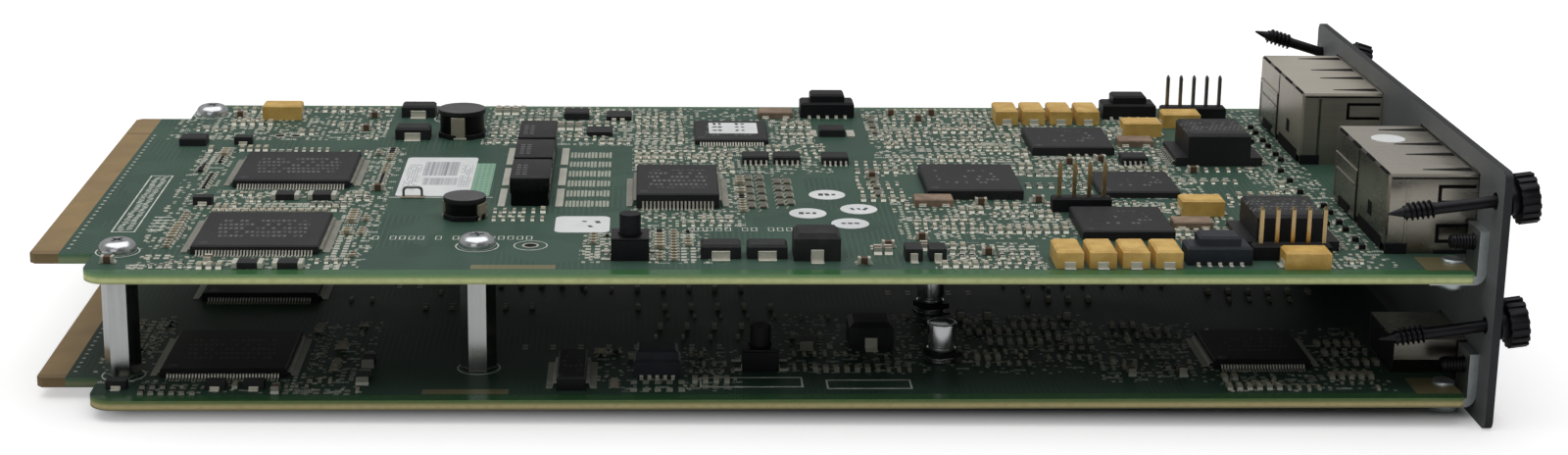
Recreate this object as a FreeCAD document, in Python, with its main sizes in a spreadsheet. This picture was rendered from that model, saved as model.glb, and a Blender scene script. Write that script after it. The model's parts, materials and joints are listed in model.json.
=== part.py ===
import FreeCAD, Part
import os
import re
import Sketcher

# Two-board plug-in output card with a front panel. Millimetres.
# X = 0 is the panel's inner face and +X its outside, Y = 0 is the panel's middle, Z = 0 its bottom edge.

SIZES = {
    # front panel
    "panel_width": 119.2,
    "panel_margin": 3.5,
    "panel_sheet": 1.3,
    "panel_corner": 1.6,
    "window_gap": 0.3,
    # boards, both alike
    "board_length": 217.2,
    "board_thick": 1.6,
    "board_corner": 4.0,
    "board_end_corner": 1.2,
    "board_setback": 3.0,
    "board_inset": 1.1,
    "board_far_inset": 4.3,
    "board_rise": 3.6,
    "board_pitch": 20.5,
    "tab_length": 10.0,
    "tab_inset": 11.1,
    "tab_far_inset": 11.5,
    "tab_bevel": 0.9,
    # hex posts between the boards and their screws
    "post_across": 5.0,
    "end_post_inset": 3.6,
    "inner_post_inset": 59.8,
    "far_inner_post_inset": 49.6,
    "near_end_post_inset": 12.5,
    "far_end_post_inset": 8.0,
    "inner_post_margin": 15.7,
    "far_inner_post_margin": 10.8,
    "screw_shank": 2.5,
    "screw_reach": 4.2,
    "screw_head": 6.0,
    "screw_head_height": 2.0,
    "screw_clearance": 0.05,
    # angle brackets and their panel screws
    "bracket_width": 6.4,
    "bracket_sheet": 1.5,
    "bracket_leg": 5.8,
    "bracket_foot": 9.0,
    "bracket_bend": 1.9,
    "bracket_inset": 4.3,
    "panel_screw_rise": 3.2,
    "panel_screw_shank": 2.8,
    "panel_screw_reach": 3.6,
    "panel_screw_head": 5.2,
    "panel_screw_head_height": 1.5,
    # captive thumbscrews
    "thumb_inset": 4.0,
    "thumb_rise": 11.2,
    "thumb_hole": 2.8,
    "thumb_shank": 1.9,
    "thumb_shank_length": 11.6,
    "thumb_thread": 2.95,
    "thumb_thread_length": 5.0,
    "thumb_tip_length": 2.5,
    "thumb_collar": 5.0,
    "thumb_collar_length": 1.2,
    "thumb_gap": 0.7,
    "thumb_knob": 8.2,
    "thumb_knob_length": 2.9,
    "thumb_flute": 0.45,
    "near_upper_tilt": 7.0,
    "near_lower_tilt": 7.5,
    "far_upper_tilt": -17.0,
    "far_lower_tilt": 4.0,
    "near_upper_draw": 0.0,
    "near_lower_draw": 0.0,
    "far_upper_draw": 2.9,
    "far_lower_draw": 0.0,
    # two-port jacks on the upper board
    "jack_inset": 11.6,
    "jack_far_inset": 11.0,
    "jack_width": 33.4,
    "jack_height": 13.2,
    "jack_setback": 14.6,
    "shield_sheet": 0.3,
    "shield_fold": 0.35,
    "insert_gap": 0.05,
    "finger_length": 6.2,
    "finger_slot": 0.6,
    "slit_length": 7.8,
    "slit_width": 1.5,
    "top_finger_width": 9.4,
    "top_finger_pitch": 17.0,
    "side_finger_width": 2.0,
    "side_finger_low": 2.4,
    "side_finger_high": 8.9,
    "shield_notch": 3.4,
    "shield_notch_height": 1.4,
    "port_width": 11.9,
    "port_height": 6.8,
    "port_depth": 12.8,
    "port_pitch": 15.6,
    "port_rise": 4.2,
    "latch_width": 6.2,
    "latch_height": 1.5,
    "key_width": 3.4,
    "key_height": 1.0,
    # video sockets on the lower board
    "socket_lead": 0.2,
    "socket_width": 15.0,
    "socket_height": 6.0,
    "socket_setback": 11.8,
    "socket_sheet": 0.4,
    "socket_taper": 1.3,
    "socket_shoulder": 2.6,
    "socket_back": 4.5,
    "tongue_width": 12.4,
    "tongue_thick": 1.1,
    "tongue_setback": 1.6,
    # chips
    "chip_bevel": 0.25,
    "video_chip_side": 20.0,
    "video_chip_height": 1.5,
    "network_chip_length": 14.0,
    "network_chip_width": 20.0,
    "network_chip_height": 2.6,
    "memory_chip_length": 13.6,
    "memory_chip_width": 15.0,
    "memory_chip_height": 1.1,
    "processor_length": 16.6,
    "processor_width": 18.0,
    "processor_height": 1.8,
    "driver_chip_side": 15.2,
    "driver_chip_height": 1.7,
    "middle_chip_side": 14.0,
    "middle_chip_height": 1.2,
    "output_chip_side": 16.0,
    "output_chip_height": 1.5,
    "wide_chip_length": 4.6,
    "wide_chip_width": 14.4,
    "wide_chip_height": 2.2,
    "small_chip_length": 4.8,
    "small_chip_width": 4.0,
    "small_chip_height": 1.5,
    "buffer_gap": 0.85,
    "thin_chip_side": 4.8,
    "thin_chip_height": 0.8,
    "transistor_length": 3.2,
    "transistor_width": 2.0,
    "transistor_height": 1.4,
    "bead_length": 4.2,
    "bead_width": 2.6,
    "bead_height": 1.0,
    "bead_gap": 2.0,
    "bead_lead": 5.4,
    # transformer modules, coils and chokes
    "transformer_length": 11.4,
    "transformer_width": 12.6,
    "transformer_height": 6.0,
    "transformer_flange": 2.2,
    "transformer_flange_height": 1.6,
    "transformer_bevel": 0.5,
    "coil_block_length": 6.7,
    "coil_block_width": 13.2,
    "coil_block_height": 5.0,
    "coil_block_pitch": 14.4,
    "coil_block_bevel": 0.6,
    "drum_base_height": 0.9,
    "drum_diameter": 8.8,
    "drum_waist": 8.2,
    "drum_base": 8.6,
    "drum_rim": 0.9,
    "drum_corner": 2.2,
    "near_drum_share": 0.8,
    "far_drum_share": 1.0,
    "near_drum_height": 3.7,
    "far_drum_height": 5.2,
    "choke_length": 7.4,
    "choke_width": 6.6,
    "choke_height": 4.4,
    "choke_bevel": 0.8,
    # link sockets
    "link_length": 10.4,
    "lower_link_length": 7.6,
    "link_width": 5.2,
    "link_height": 3.0,
    "link_crown_length": 6.6,
    "link_crown_height": 1.6,
    "link_bevel": 0.4,
    # push switches
    "switch_side": 6.0,
    "switch_height": 3.6,
    "switch_bevel": 0.4,
    "plunger_diameter": 3.4,
    "plunger_rise": 3.4,
    "plunger_sink": 1.6,
    "plunger_gap": 0.15,
    "plunger_room": 0.6,
    # pin headers
    "pin_pitch": 2.54,
    "pin_side": 0.64,
    "pin_height": 8.6,
    "header_width": 2.5,
    "header_height": 2.5,
    "header_bevel": 0.35,
    # moulded capacitors, oscillators, diodes and cans
    "moulded_length": 7.3,
    "moulded_width": 4.3,
    "moulded_height": 2.9,
    "moulded_bevel": 0.35,
    "moulded_pitch": 5.25,
    "oscillator_length": 6.6,
    "oscillator_width": 3.8,
    "oscillator_height": 1.3,
    "oscillator_bevel": 0.2,
    "oscillator_lead": 7.6,
    "oscillator_gap": 0.7,
    "diode_length": 6.4,
    "diode_width": 4.2,
    "diode_height": 2.3,
    "diode_bevel": 0.4,
    "edge_gap": 0.95,
    "small_diode_length": 2.7,
    "small_diode_width": 4.0,
    "small_diode_height": 2.0,
    "small_diode_gap": 1.1,
    "can_diameter": 5.0,
    "can_height": 5.6,
    "can_base": 5.3,
    "can_base_height": 0.9,
}

doc = FreeCAD.newDocument("output_card")
sheet = doc.addObject("Spreadsheet::Sheet", "Sizes")
for row, (alias, value) in enumerate(SIZES.items(), start=1):
    sheet.set(f"A{row}", alias)
    sheet.set(f"B{row}", str(value))
    sheet.setAlias(f"B{row}", alias)
doc.recompute()

# Places that many pieces share, as formulas on the sizes
PANEL_EDGE = "(panel_width / 2)"
NEAR_EDGE = "(board_inset - panel_width / 2)"
FAR_EDGE = "(panel_width / 2 - board_far_inset)"
BOARD_WIDTH = "(panel_width - board_inset - board_far_inset)"
TAB_SIDE = "(-board_setback - board_length)"
LOWER_TOP = "(board_rise + board_thick)"
UPPER_TOP = "(board_rise + board_pitch + board_thick)"
BOARD_TOPS = {"upper": UPPER_TOP, "lower": LOWER_TOP}
PANEL_HEIGHT = f"({UPPER_TOP} + jack_height + panel_margin)"

pieces = []


def formula(text):
    return re.sub(r"[a-z_]+", lambda word: "Sizes." + word[0] if word[0] in SIZES else word[0], text)


def bind(item, prop, text):
    item.setExpression(prop, formula(text))


def place(item, x="0", y="0", z="0"):
    bind(item, "Placement.Base.x", x)
    bind(item, "Placement.Base.y", y)
    bind(item, "Placement.Base.z", z)


def turn(item, axis, angle):
    item.Placement = FreeCAD.Placement(FreeCAD.Vector(), FreeCAD.Rotation(axis, 90))
    bind(item, "Placement.Rotation.Angle", f"({angle}) * 1 deg")


def share(along, across):
    # a place on a board, as shares of its length from the tab and of its width from the near edge
    return f"({TAB_SIDE} + {along} * board_length)", f"({NEAR_EDGE} + {across} * {BOARD_WIDTH})"


def from_panel(setback, across):
    # a place on a board, as a distance from its panel end and a share of its width
    return f"(-board_setback - {setback})", f"({NEAR_EDGE} + {across} * {BOARD_WIDTH})"


def beside(spot, along, across="0"):
    # a place at set steps from another one
    return f"({spot[0]} + {along})", f"({spot[1]} + {across})"


def new_body(name):
    return doc.addObject("PartDesign::Body", name)


def finish(item, name):
    item.Label = name
    pieces.append(item)
    return item


def group(name, members):
    compound = doc.addObject("Part::Compound", name + "_group")
    compound.Links = members
    return finish(compound, name)


def new_sketch(body, role, name):
    sketch = body.newObject("Sketcher::SketchObject", name)
    plane = next(item for item in body.Origin.OriginFeatures if item.Role == role)
    sketch.AttachmentSupport = (plane, "")
    sketch.MapMode = "FlatFace"
    return sketch


def fix_point(sketch, geometry, point, x, y):
    # each coordinate is tied to its formula, or to the sketch's axis where it is zero
    for kind, axis, text in (("DistanceX", -2, x), ("DistanceY", -1, y)):
        if text == "0":
            sketch.addConstraint(Sketcher.Constraint("PointOnObject", geometry, point, axis))
            continue
        tie = sketch.addConstraint(Sketcher.Constraint(kind, -1, 1, geometry, point, 1.0))
        sketch.renameConstraint(tie, f"tie_{tie}")
        bind(sketch, f"Constraints.tie_{tie}", text)


def outline(sketch, corners):
    # a closed outline through corners given as pairs of formulas
    first = sketch.GeometryCount
    count = len(corners)
    start = [FreeCAD.Vector(index, index * index, 0) for index in range(count)]
    for index in range(count):
        sketch.addGeometry(Part.LineSegment(start[index], start[(index + 1) % count]))
    for index in range(count):
        following = first + (index + 1) % count
        sketch.addConstraint(Sketcher.Constraint("Coincident", first + index, 2, following, 1))
    for index, (x, y) in enumerate(corners):
        fix_point(sketch, first + index, 1, x, y)


def rectangle(sketch, left, low, right, high):
    outline(sketch, [(left, low), (right, low), (right, high), (left, high)])


def circle(sketch, x, y, diameter):
    geometry = sketch.addGeometry(Part.Circle(FreeCAD.Vector(1, 1, 0), FreeCAD.Vector(0, 0, 1), 1.0))
    fix_point(sketch, geometry, 3, x, y)
    tie = sketch.addConstraint(Sketcher.Constraint("Diameter", geometry, 2.0))
    sketch.renameConstraint(tie, f"tie_{tie}")
    bind(sketch, f"Constraints.tie_{tie}", diameter)


def pad(body, sketch, length, reverse=False):
    feature = body.newObject("PartDesign::Pad", sketch.Name + "_pad")
    feature.Profile = sketch
    feature.Reversed = reverse
    bind(feature, "Length", length)
    doc.recompute()
    return feature


def cut(body, sketch, depth=None, reverse=False):
    # a cut to a depth, or right through both ways
    before = body.Shape.Volume
    feature = body.newObject("PartDesign::Pocket", sketch.Name + "_cut")
    feature.Profile = sketch
    feature.Reversed = reverse
    if depth is None:
        feature.SideType = "Symmetric"
        feature.Type = "ThroughAll"
    else:
        bind(feature, "Length", depth)
    doc.recompute()
    if body.Shape.Volume >= before:
        raise ValueError(f"{sketch.Name} cuts nothing")
    return feature


def turned(body, sketch):
    # a solid of revolution about the sketch's upright axis
    feature = body.newObject("PartDesign::Revolution", sketch.Name + "_turned")
    feature.Profile = sketch
    feature.ReferenceAxis = (sketch, ["V_Axis"])
    feature.Angle = 360
    doc.recompute()
    return feature


def edges_where(shape, test):
    return [f"Edge{number}" for number, edge in enumerate(shape.Edges, start=1) if test(edge)]


def runs_along(edge, direction):
    ends = [vertex.Point for vertex in edge.Vertexes]
    return len(ends) == 2 and (ends[1] - ends[0]).cross(direction).Length < 1e-6


def dress(body, kind, edges, size):
    # rounds or bevels the named edges of the body as it stands
    base = body.Tip
    feature = body.newObject("PartDesign::" + kind, f"{body.Name}_{kind.lower()}_{len(body.Group)}")
    feature.Base = (base, edges)
    bind(feature, "Radius" if kind == "Fillet" else "Size", size)
    doc.recompute()
    return feature


def block(body, length, width, height, x="0", y="0", z="0"):
    # a rectangular block of a body, its low corner at x, y, z
    feature = body.newObject("PartDesign::AdditiveBox", f"{body.Name}_block_{len(body.Group)}")
    for prop, text in (("Length", length), ("Width", width), ("Height", height)):
        bind(feature, prop, text)
    for letter, text in (("x", x), ("y", y), ("z", z)):
        bind(feature, f"AttachmentOffset.Base.{letter}", text)
    plane = next(item for item in body.Origin.OriginFeatures if item.Role == "XY_Plane")
    feature.AttachmentSupport = (plane, "")
    feature.MapMode = "FlatFace"
    doc.recompute()
    return feature


def prism(body, sides, diameter, height, z="0"):
    # an upright bar of a body with flat sides, its corners on the diameter
    feature = body.newObject("PartDesign::AdditivePrism", f"{body.Name}_prism_{len(body.Group)}")
    feature.Polygon = sides
    bind(feature, "Circumradius", f"({diameter}) / 2")
    bind(feature, "Height", height)
    bind(feature, "AttachmentOffset.Base.z", z)
    plane = next(item for item in body.Origin.OriginFeatures if item.Role == "XY_Plane")
    feature.AttachmentSupport = (plane, "")
    feature.MapMode = "FlatFace"
    doc.recompute()
    return feature


def top_edges(body):
    high = body.Shape.BoundBox.ZMax
    return edges_where(body.Shape, lambda edge: edge.BoundBox.ZMin > high - 1e-6)


def case(name, board, spot, length, width, height, bevel):
    # a flat-bottomed component case with bevelled top edges, centred on its spot
    body = new_body(name)
    block(body, length, width, height)
    dress(body, "Chamfer", top_edges(body), bevel)
    x, y = spot
    place(body, f"{x} - {length} / 2", f"{y} - {width} / 2", BOARD_TOPS[board])
    return body


def plain_block(name, board, spot, length, width, height):
    # a small square-edged component, centred on its spot
    body = new_body(name)
    block(body, length, width, height)
    x, y = spot
    place(body, f"{x} - {length} / 2", f"{y} - {width} / 2", BOARD_TOPS[board])
    return body


# Front panel: a flat sheet with rounded corners, windows for the sockets and holes for the screws
JACK_SIDES = {
    "near": f"({NEAR_EDGE} + jack_inset)",
    "far": f"({FAR_EDGE} - jack_far_inset - jack_width)",
}
SOCKET_SIDES = {channel: f"({side} - socket_lead)" for channel, side in JACK_SIDES.items()}


BRACKET_MIDDLES = {
    "near": f"({NEAR_EDGE} + bracket_inset + bracket_width / 2)",
    "far": f"({FAR_EDGE} - bracket_inset - bracket_width / 2)",
}
THUMB_LINES = {
    "near": "(thumb_inset - panel_width / 2)",
    "far": "(panel_width / 2 - thumb_inset)",
}


def front_panel():
    body = new_body("panel_body")
    sketch = new_sketch(body, "YZ_Plane", "panel_outline")
    rectangle(sketch, "0", "0", "panel_width", PANEL_HEIGHT)
    pad(body, sketch, "panel_sheet")
    across = FreeCAD.Vector(1, 0, 0)
    dress(body, "Fillet", edges_where(body.Shape, lambda edge: runs_along(edge, across)), "panel_corner")
    windows = new_sketch(body, "YZ_Plane", "panel_windows")
    for sides, width, height, level in (
        (JACK_SIDES, "jack_width", "jack_height", UPPER_TOP),
        (SOCKET_SIDES, "socket_width", "socket_height", LOWER_TOP),
    ):
        for side in sides.values():
            low = f"{PANEL_EDGE} + {side} - window_gap"
            high = f"{PANEL_EDGE} + {side} + {width} + window_gap"
            rectangle(windows, low, f"{level} - window_gap", high, f"{level} + {height} + window_gap")
    cut(body, windows)
    holes = new_sketch(body, "YZ_Plane", "panel_holes")
    for level in BOARD_TOPS.values():
        for line in THUMB_LINES.values():
            circle(holes, f"{PANEL_EDGE} + {line}", f"{level} + thumb_rise", "thumb_hole")
        for middle in BRACKET_MIDDLES.values():
            wide = "panel_screw_shank + 2 * screw_clearance"
            circle(holes, f"{PANEL_EDGE} + {middle}", f"{level} + panel_screw_rise", wide)
    cut(body, holes)
    place(body, "0", f"-{PANEL_EDGE}", "0")
    finish(body, "front_panel")


# Boards: rounded plates with a card-edge tab, drilled for the post screws
POSTS = {
    "near_end": ("end_post_inset", "near_end_post_inset"),
    "near_inner": ("inner_post_inset", "inner_post_margin"),
    "far_end": ("end_post_inset", f"({BOARD_WIDTH} - far_end_post_inset)"),
    "far_inner": ("far_inner_post_inset", f"({BOARD_WIDTH} - far_inner_post_margin)"),
}


def board(name, underside):
    body = new_body(name + "_body")
    sketch = new_sketch(body, "XY_Plane", name + "_outline")
    tab_far = f"{BOARD_WIDTH} - tab_far_inset"
    right = "tab_length + board_length"
    outline(sketch, [
        ("0", "tab_inset"),
        ("tab_length", "tab_inset"),
        ("tab_length", "0"),
        (right, "0"),
        (right, BOARD_WIDTH),
        ("tab_length", BOARD_WIDTH),
        ("tab_length", tab_far),
        ("0", tab_far),
    ])
    pad(body, sketch, "board_thick")
    box = body.Shape.BoundBox

    def upright_at(edge, ends, sides):
        point = edge.Vertexes[0].Point
        upright = runs_along(edge, FreeCAD.Vector(0, 0, 1))
        return upright and (round(point.y, 4) in sides if sides else round(point.x, 4) in ends)

    sides = (round(box.YMin, 4), round(box.YMax, 4))

    def corner(edge, at_panel):
        return upright_at(edge, (), sides) and (edge.Vertexes[0].Point.x > box.XMax - 1e-6) == at_panel

    dress(body, "Fillet", edges_where(body.Shape, lambda edge: corner(edge, False)), "board_corner")
    dress(body, "Fillet", edges_where(body.Shape, lambda edge: corner(edge, True)), "board_end_corner")
    ends = (round(box.XMin, 4),)
    dress(body, "Chamfer", edges_where(body.Shape, lambda edge: upright_at(edge, ends, ())), "tab_bevel")
    holes = new_sketch(body, "XY_Plane", name + "_holes")
    for along, across in POSTS.values():
        circle(holes, f"tab_length + {along}", across, "screw_shank + 4 * screw_clearance")
    cut(body, holes)
    place(body, f"{TAB_SIDE} - tab_length", NEAR_EDGE, underside)
    finish(body, name)


# Posts: hex bars tapped right through
def post(name, along, across):
    body = new_body(name + "_post_body")
    prism(body, 6, "2 * post_across / sqrt(3)", "board_pitch - board_thick")
    bore = new_sketch(body, "XY_Plane", name + "_bore")
    circle(bore, "0", "0", "screw_shank + 2 * screw_clearance")
    cut(body, bore)
    place(body, f"{TAB_SIDE} + {along}", f"{NEAR_EDGE} + {across}", LOWER_TOP)
    finish(body, name + "_post")


def fastener(name, shank, reach, head, head_height):
    # a bevelled head above z = 0 on a plain shank below it, both with flat sides
    body = new_body(name)
    prism(body, 12, shank, reach, f"-({reach})")
    prism(body, 12, head, head_height)
    dress(body, "Chamfer", top_edges(body), f"{head_height} / 2")
    return body


def post_screws():
    reach = "board_thick + screw_reach"
    for end, level in (("top", UPPER_TOP), ("bottom", "board_rise")):
        screws = []
        for name, (along, across) in POSTS.items():
            size = ("screw_shank", reach, "screw_head", "screw_head_height")
            screw = fastener(f"{name}_{end}_screw", *size)
            if end == "bottom":
                turn(screw, FreeCAD.Vector(1, 0, 0), "180")
            place(screw, f"{TAB_SIDE} + {along}", f"{NEAR_EDGE} + {across}", level)
            screws.append(screw)
        group(f"post_{end}_screws", screws)


# Brackets: bent strips, one leg on the panel and the foot under the board
def bracket(name, level, middle):
    body = new_body(name + "_body")
    sketch = new_sketch(body, "XZ_Plane", name + "_profile")
    height = "bracket_sheet + board_thick + bracket_leg"
    outline(sketch, [
        ("0", "0"),
        ("bracket_foot", "0"),
        ("bracket_foot", "bracket_sheet"),
        ("bracket_sheet", "bracket_sheet"),
        ("bracket_sheet", height),
        ("0", height),
    ])
    pad(body, sketch, "bracket_width")

    def at_bend(edge):
        point = edge.Vertexes[0].Point
        along = runs_along(edge, FreeCAD.Vector(0, 1, 0))
        return along and abs(point.x) < 1e-6 and abs(point.z) < 1e-6

    dress(body, "Fillet", edges_where(body.Shape, at_bend), "bracket_bend")
    leg_hole = new_sketch(body, "YZ_Plane", name + "_leg_hole")
    rise = "bracket_sheet + board_thick + panel_screw_rise"
    circle(leg_hole, "-bracket_width / 2", rise, "panel_screw_shank + 2 * screw_clearance")
    cut(body, leg_hole, "bracket_sheet", reverse=True)
    turn(body, FreeCAD.Vector(0, 0, 1), "180")
    place(body, "0", f"{middle} - bracket_width / 2", f"{level} - board_thick - bracket_sheet")
    finish(body, name)


def brackets():
    screws = []
    for tier, level in BOARD_TOPS.items():
        for side, middle in BRACKET_MIDDLES.items():
            name = f"{tier}_{side}"
            bracket(f"{name}_bracket", level, middle)
            through = "panel_sheet + bracket_sheet + panel_screw_reach"
            size = ("panel_screw_shank", through, "panel_screw_head", "panel_screw_head_height")
            screw = fastener(f"{name}_panel_screw", *size)
            turn(screw, FreeCAD.Vector(0, 1, 0), "90")
            place(screw, "panel_sheet", middle, f"{level} + panel_screw_rise")
            screws.append(screw)
    group("bracket_screws", screws)


# Thumbscrews: fluted knob, collar, thin shank and threaded nose, one piece
FLUTES = 16


def thumbscrew(name, line, level):
    body = new_body(name + "_body")
    sketch = new_sketch(body, "XZ_Plane", name + "_profile")
    collar = f"(panel_sheet / 2 + thumb_gap + {name}_draw)"
    knob = f"({collar} + thumb_collar_length)"
    thread = f"({collar} - thumb_shank_length)"
    nose = f"({thread} - thumb_thread_length)"
    outline(sketch, [
        ("0", f"{nose} - thumb_tip_length"),
        ("thumb_thread / 2", nose),
        ("thumb_thread / 2", thread),
        ("thumb_shank / 2", thread),
        ("thumb_shank / 2", collar),
        ("thumb_collar / 2", collar),
        ("thumb_collar / 2", knob),
        ("0", knob),
    ])
    turned(body, sketch)
    fluted = new_sketch(body, "XY_Plane", name + "_knob")
    bind(fluted, "AttachmentOffset.Base.z", knob)
    corners = []
    for index in range(2 * FLUTES):
        # the half step keeps every corner off the sketch's axes
        angle = (index + 0.5) * 180 / FLUTES
        radius = "thumb_knob / 2" if index % 2 else "(thumb_knob / 2 - thumb_flute)"
        corners.append((f"{radius} * cos({angle} deg)", f"{radius} * sin({angle} deg)"))
    outline(fluted, corners)
    pad(body, fluted, "thumb_knob_length")
    turn(body, FreeCAD.Vector(0, 1, 0), f"90 - {name}_tilt")
    place(body, "panel_sheet / 2", line, f"{level} + thumb_rise")
    finish(body, name + "_thumbscrew")


# Jack shields: sheet boxes open at the front and below, slit on top and with spring fingers cut free
# on their sides
def finger_slit(sketch, front, middle):
    # a slit that narrows to a point at the back
    outline(sketch, [
        (front, f"{middle} - slit_width / 2"),
        (front, f"{middle} + slit_width / 2"),
        (f"{front} - slit_length", middle),
    ])


def finger_slot(sketch, front, low, high):
    # a slot round a finger that stays joined at the front
    back = f"{front} - finger_length"
    outline(sketch, [
        (front, f"{low} - finger_slot"),
        (front, low),
        (f"{back} + finger_slot", low),
        (f"{back} + finger_slot", high),
        (front, high),
        (front, f"{high} + finger_slot"),
        (back, f"{high} + finger_slot"),
        (back, f"{low} - finger_slot"),
    ])


def jack_shield(name, side):
    body = new_body(name + "_shield_body")
    depth = "(jack_setback + panel_sheet)"
    sketch = new_sketch(body, "XY_Plane", name + "_shield_plan")
    rectangle(sketch, "0", "0", depth, "jack_width")
    pad(body, sketch, "jack_height")
    box = body.Shape.BoundBox

    def folded(edge):
        middle = edge.BoundBox.Center
        on_top = middle.z > box.ZMax - 1e-6
        on_back = middle.x < box.XMin + 1e-6
        on_side = middle.y < box.YMin + 1e-6 or middle.y > box.YMax - 1e-6
        return on_top + on_back + on_side == 2

    dress(body, "Chamfer", edges_where(body.Shape, folded), "shield_fold")
    inside = new_sketch(body, "XY_Plane", name + "_shield_inside")
    sheet_edge = "jack_width - shield_sheet"
    rectangle(inside, "shield_sheet", "shield_sheet", depth, sheet_edge)
    cut(body, inside, "jack_height - shield_sheet", reverse=True)
    root = "jack_setback - window_gap"
    top = new_sketch(body, "XY_Plane", name + "_top_fingers")
    for step in ("-1", "1"):
        for side_step in ("-1", "1"):
            reach = f"({step} * top_finger_pitch + {side_step} * (top_finger_width + finger_slot)) / 2"
            finger_slit(top, root, f"(jack_width / 2 + {reach})")
    cut(body, top)
    ends = new_sketch(body, "XZ_Plane", name + "_side_fingers")
    for low in ("side_finger_low", "side_finger_high"):
        finger_slot(ends, root, low, f"({low} + side_finger_width)")
    rectangle(ends, "0", "0", "shield_notch", "shield_notch_height")
    cut(body, ends)
    place(body, "-jack_setback", side, UPPER_TOP)
    finish(body, name + "_jack_shield")


# Jack bodies: plastic blocks with two keyed plug ports
def jack_insert(name, side):
    body = new_body(name + "_insert_body")
    gap = "(shield_sheet + insert_gap)"
    length = f"(jack_setback + panel_sheet - {gap})"
    width = f"(jack_width - 2 * {gap})"
    sketch = new_sketch(body, "XY_Plane", name + "_insert_plan")
    rectangle(sketch, "0", "0", length, width)
    pad(body, sketch, f"jack_height - {gap}")
    ports = new_sketch(body, "YZ_Plane", name + "_ports")
    bind(ports, "AttachmentOffset.Base.z", length)
    for step in ("-1", "1"):
        middle = f"({width} / 2 + {step} * port_pitch / 2)"
        latch = "(port_rise - latch_height)"
        key = f"({latch} - key_height)"
        roof = "(port_rise + port_height)"
        outline(ports, [
            (f"{middle} - port_width / 2", "port_rise"),
            (f"{middle} - latch_width / 2", "port_rise"),
            (f"{middle} - latch_width / 2", latch),
            (f"{middle} - key_width / 2", latch),
            (f"{middle} - key_width / 2", key),
            (f"{middle} + key_width / 2", key),
            (f"{middle} + key_width / 2", latch),
            (f"{middle} + latch_width / 2", latch),
            (f"{middle} + latch_width / 2", "port_rise"),
            (f"{middle} + port_width / 2", "port_rise"),
            (f"{middle} + port_width / 2", roof),
            (f"{middle} - port_width / 2", roof),
        ])
    cut(body, ports, "port_depth")
    place(body, f"-jack_setback + {gap}", f"{side} + {gap}", UPPER_TOP)
    finish(body, name + "_jack_insert")


# Video sockets: tapered sheet tubes over an insulator with a flat tongue
def socket_profile(sketch, margin):
    wide = f"(socket_width - {margin})"
    narrow = "socket_taper"
    outline(sketch, [
        (f"{narrow} + {margin}", margin),
        (f"{wide} - {narrow}", margin),
        (wide, "socket_shoulder"),
        (wide, f"socket_height - {margin}"),
        (margin, f"socket_height - {margin}"),
        (margin, "socket_shoulder"),
    ])


def socket_shell(name, side):
    body = new_body(name + "_shell_body")
    depth = "socket_setback + panel_sheet"
    sketch = new_sketch(body, "YZ_Plane", name + "_shell_profile")
    socket_profile(sketch, "0")
    pad(body, sketch, depth)
    inside = new_sketch(body, "YZ_Plane", name + "_shell_inside")
    socket_profile(inside, "socket_sheet")
    cut(body, inside)
    place(body, "-socket_setback", side, LOWER_TOP)
    finish(body, name + "_socket_shell")


def socket_insert(name, side):
    body = new_body(name + "_tongue_body")
    sketch = new_sketch(body, "YZ_Plane", name + "_tongue_back")
    socket_profile(sketch, "(socket_sheet + insert_gap)")
    pad(body, sketch, "socket_back")
    reach = "socket_setback + panel_sheet - socket_back - tongue_setback"
    middle = "(socket_sheet + socket_height) / 2"
    block(body, reach, "tongue_width", "tongue_thick",
          "socket_back", "(socket_width - tongue_width) / 2", f"{middle} - tongue_thick / 2")
    place(body, "-socket_setback", side, LOWER_TOP)
    finish(body, name + "_socket_tongue")


# Chips and other plain cases: board, place and the sizes by name
PROCESSOR = share(0.660, 0.469)
EDGE_DIODE = share(0.454, 0.092)
BUFFER = share(0.490, 0.620)
CHIPS = {
    "near_video_chip": (
        "upper", share(0.116, 0.183), "video_chip_side", "video_chip_side", "video_chip_height"),
    "far_video_chip": (
        "upper", share(0.118, 0.540), "video_chip_side", "video_chip_side", "video_chip_height"),
    "network_chip": (
        "upper", share(0.424, 0.426), "network_chip_length", "network_chip_width", "network_chip_height"),
    "memory_chip": (
        "upper", share(0.472, 0.795), "memory_chip_length", "memory_chip_width", "memory_chip_height"),
    "processor_chip": ("upper", PROCESSOR, "processor_length", "processor_width", "processor_height"),
    "near_driver_chip": (
        "upper", from_panel(51.7, 0.234), "driver_chip_side", "driver_chip_side", "driver_chip_height"),
    "far_driver_chip": (
        "upper", from_panel(52.1, 0.730), "driver_chip_side", "driver_chip_side", "driver_chip_height"),
    "middle_chip": (
        "upper", from_panel(45.0, 0.463), "middle_chip_side", "middle_chip_side", "middle_chip_height"),
    "lower_near_chip": (
        "lower", share(0.090, 0.185), "video_chip_side", "video_chip_side", "video_chip_height"),
    "lower_far_chip": (
        "lower", share(0.090, 0.542), "video_chip_side", "video_chip_side", "video_chip_height"),
    "lower_output_chip": (
        "lower", from_panel(29.5, 0.200), "output_chip_side", "output_chip_side", "output_chip_height"),
    "lower_wide_chip": (
        "lower", share(0.3453, 0.102), "wide_chip_length", "wide_chip_width", "wide_chip_height"),
}
SMALL_CHIPS = {
    "gate_chip": share(0.556, 0.617),
    "left_buffer": BUFFER,
    "right_buffer": beside(BUFFER, "small_chip_length + buffer_gap"),
    "clock_chip": from_panel(41.9, 0.620),
    "flash_chip": share(0.560, 0.802),
    "tab_chip": share(0.018, 0.729),
    "coil_chip": share(0.3375, 0.9165),
}
THIN_CHIPS = {"coil_far_chip": share(0.375, 0.917), "coil_near_chip": share(0.359, 0.806)}
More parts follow.
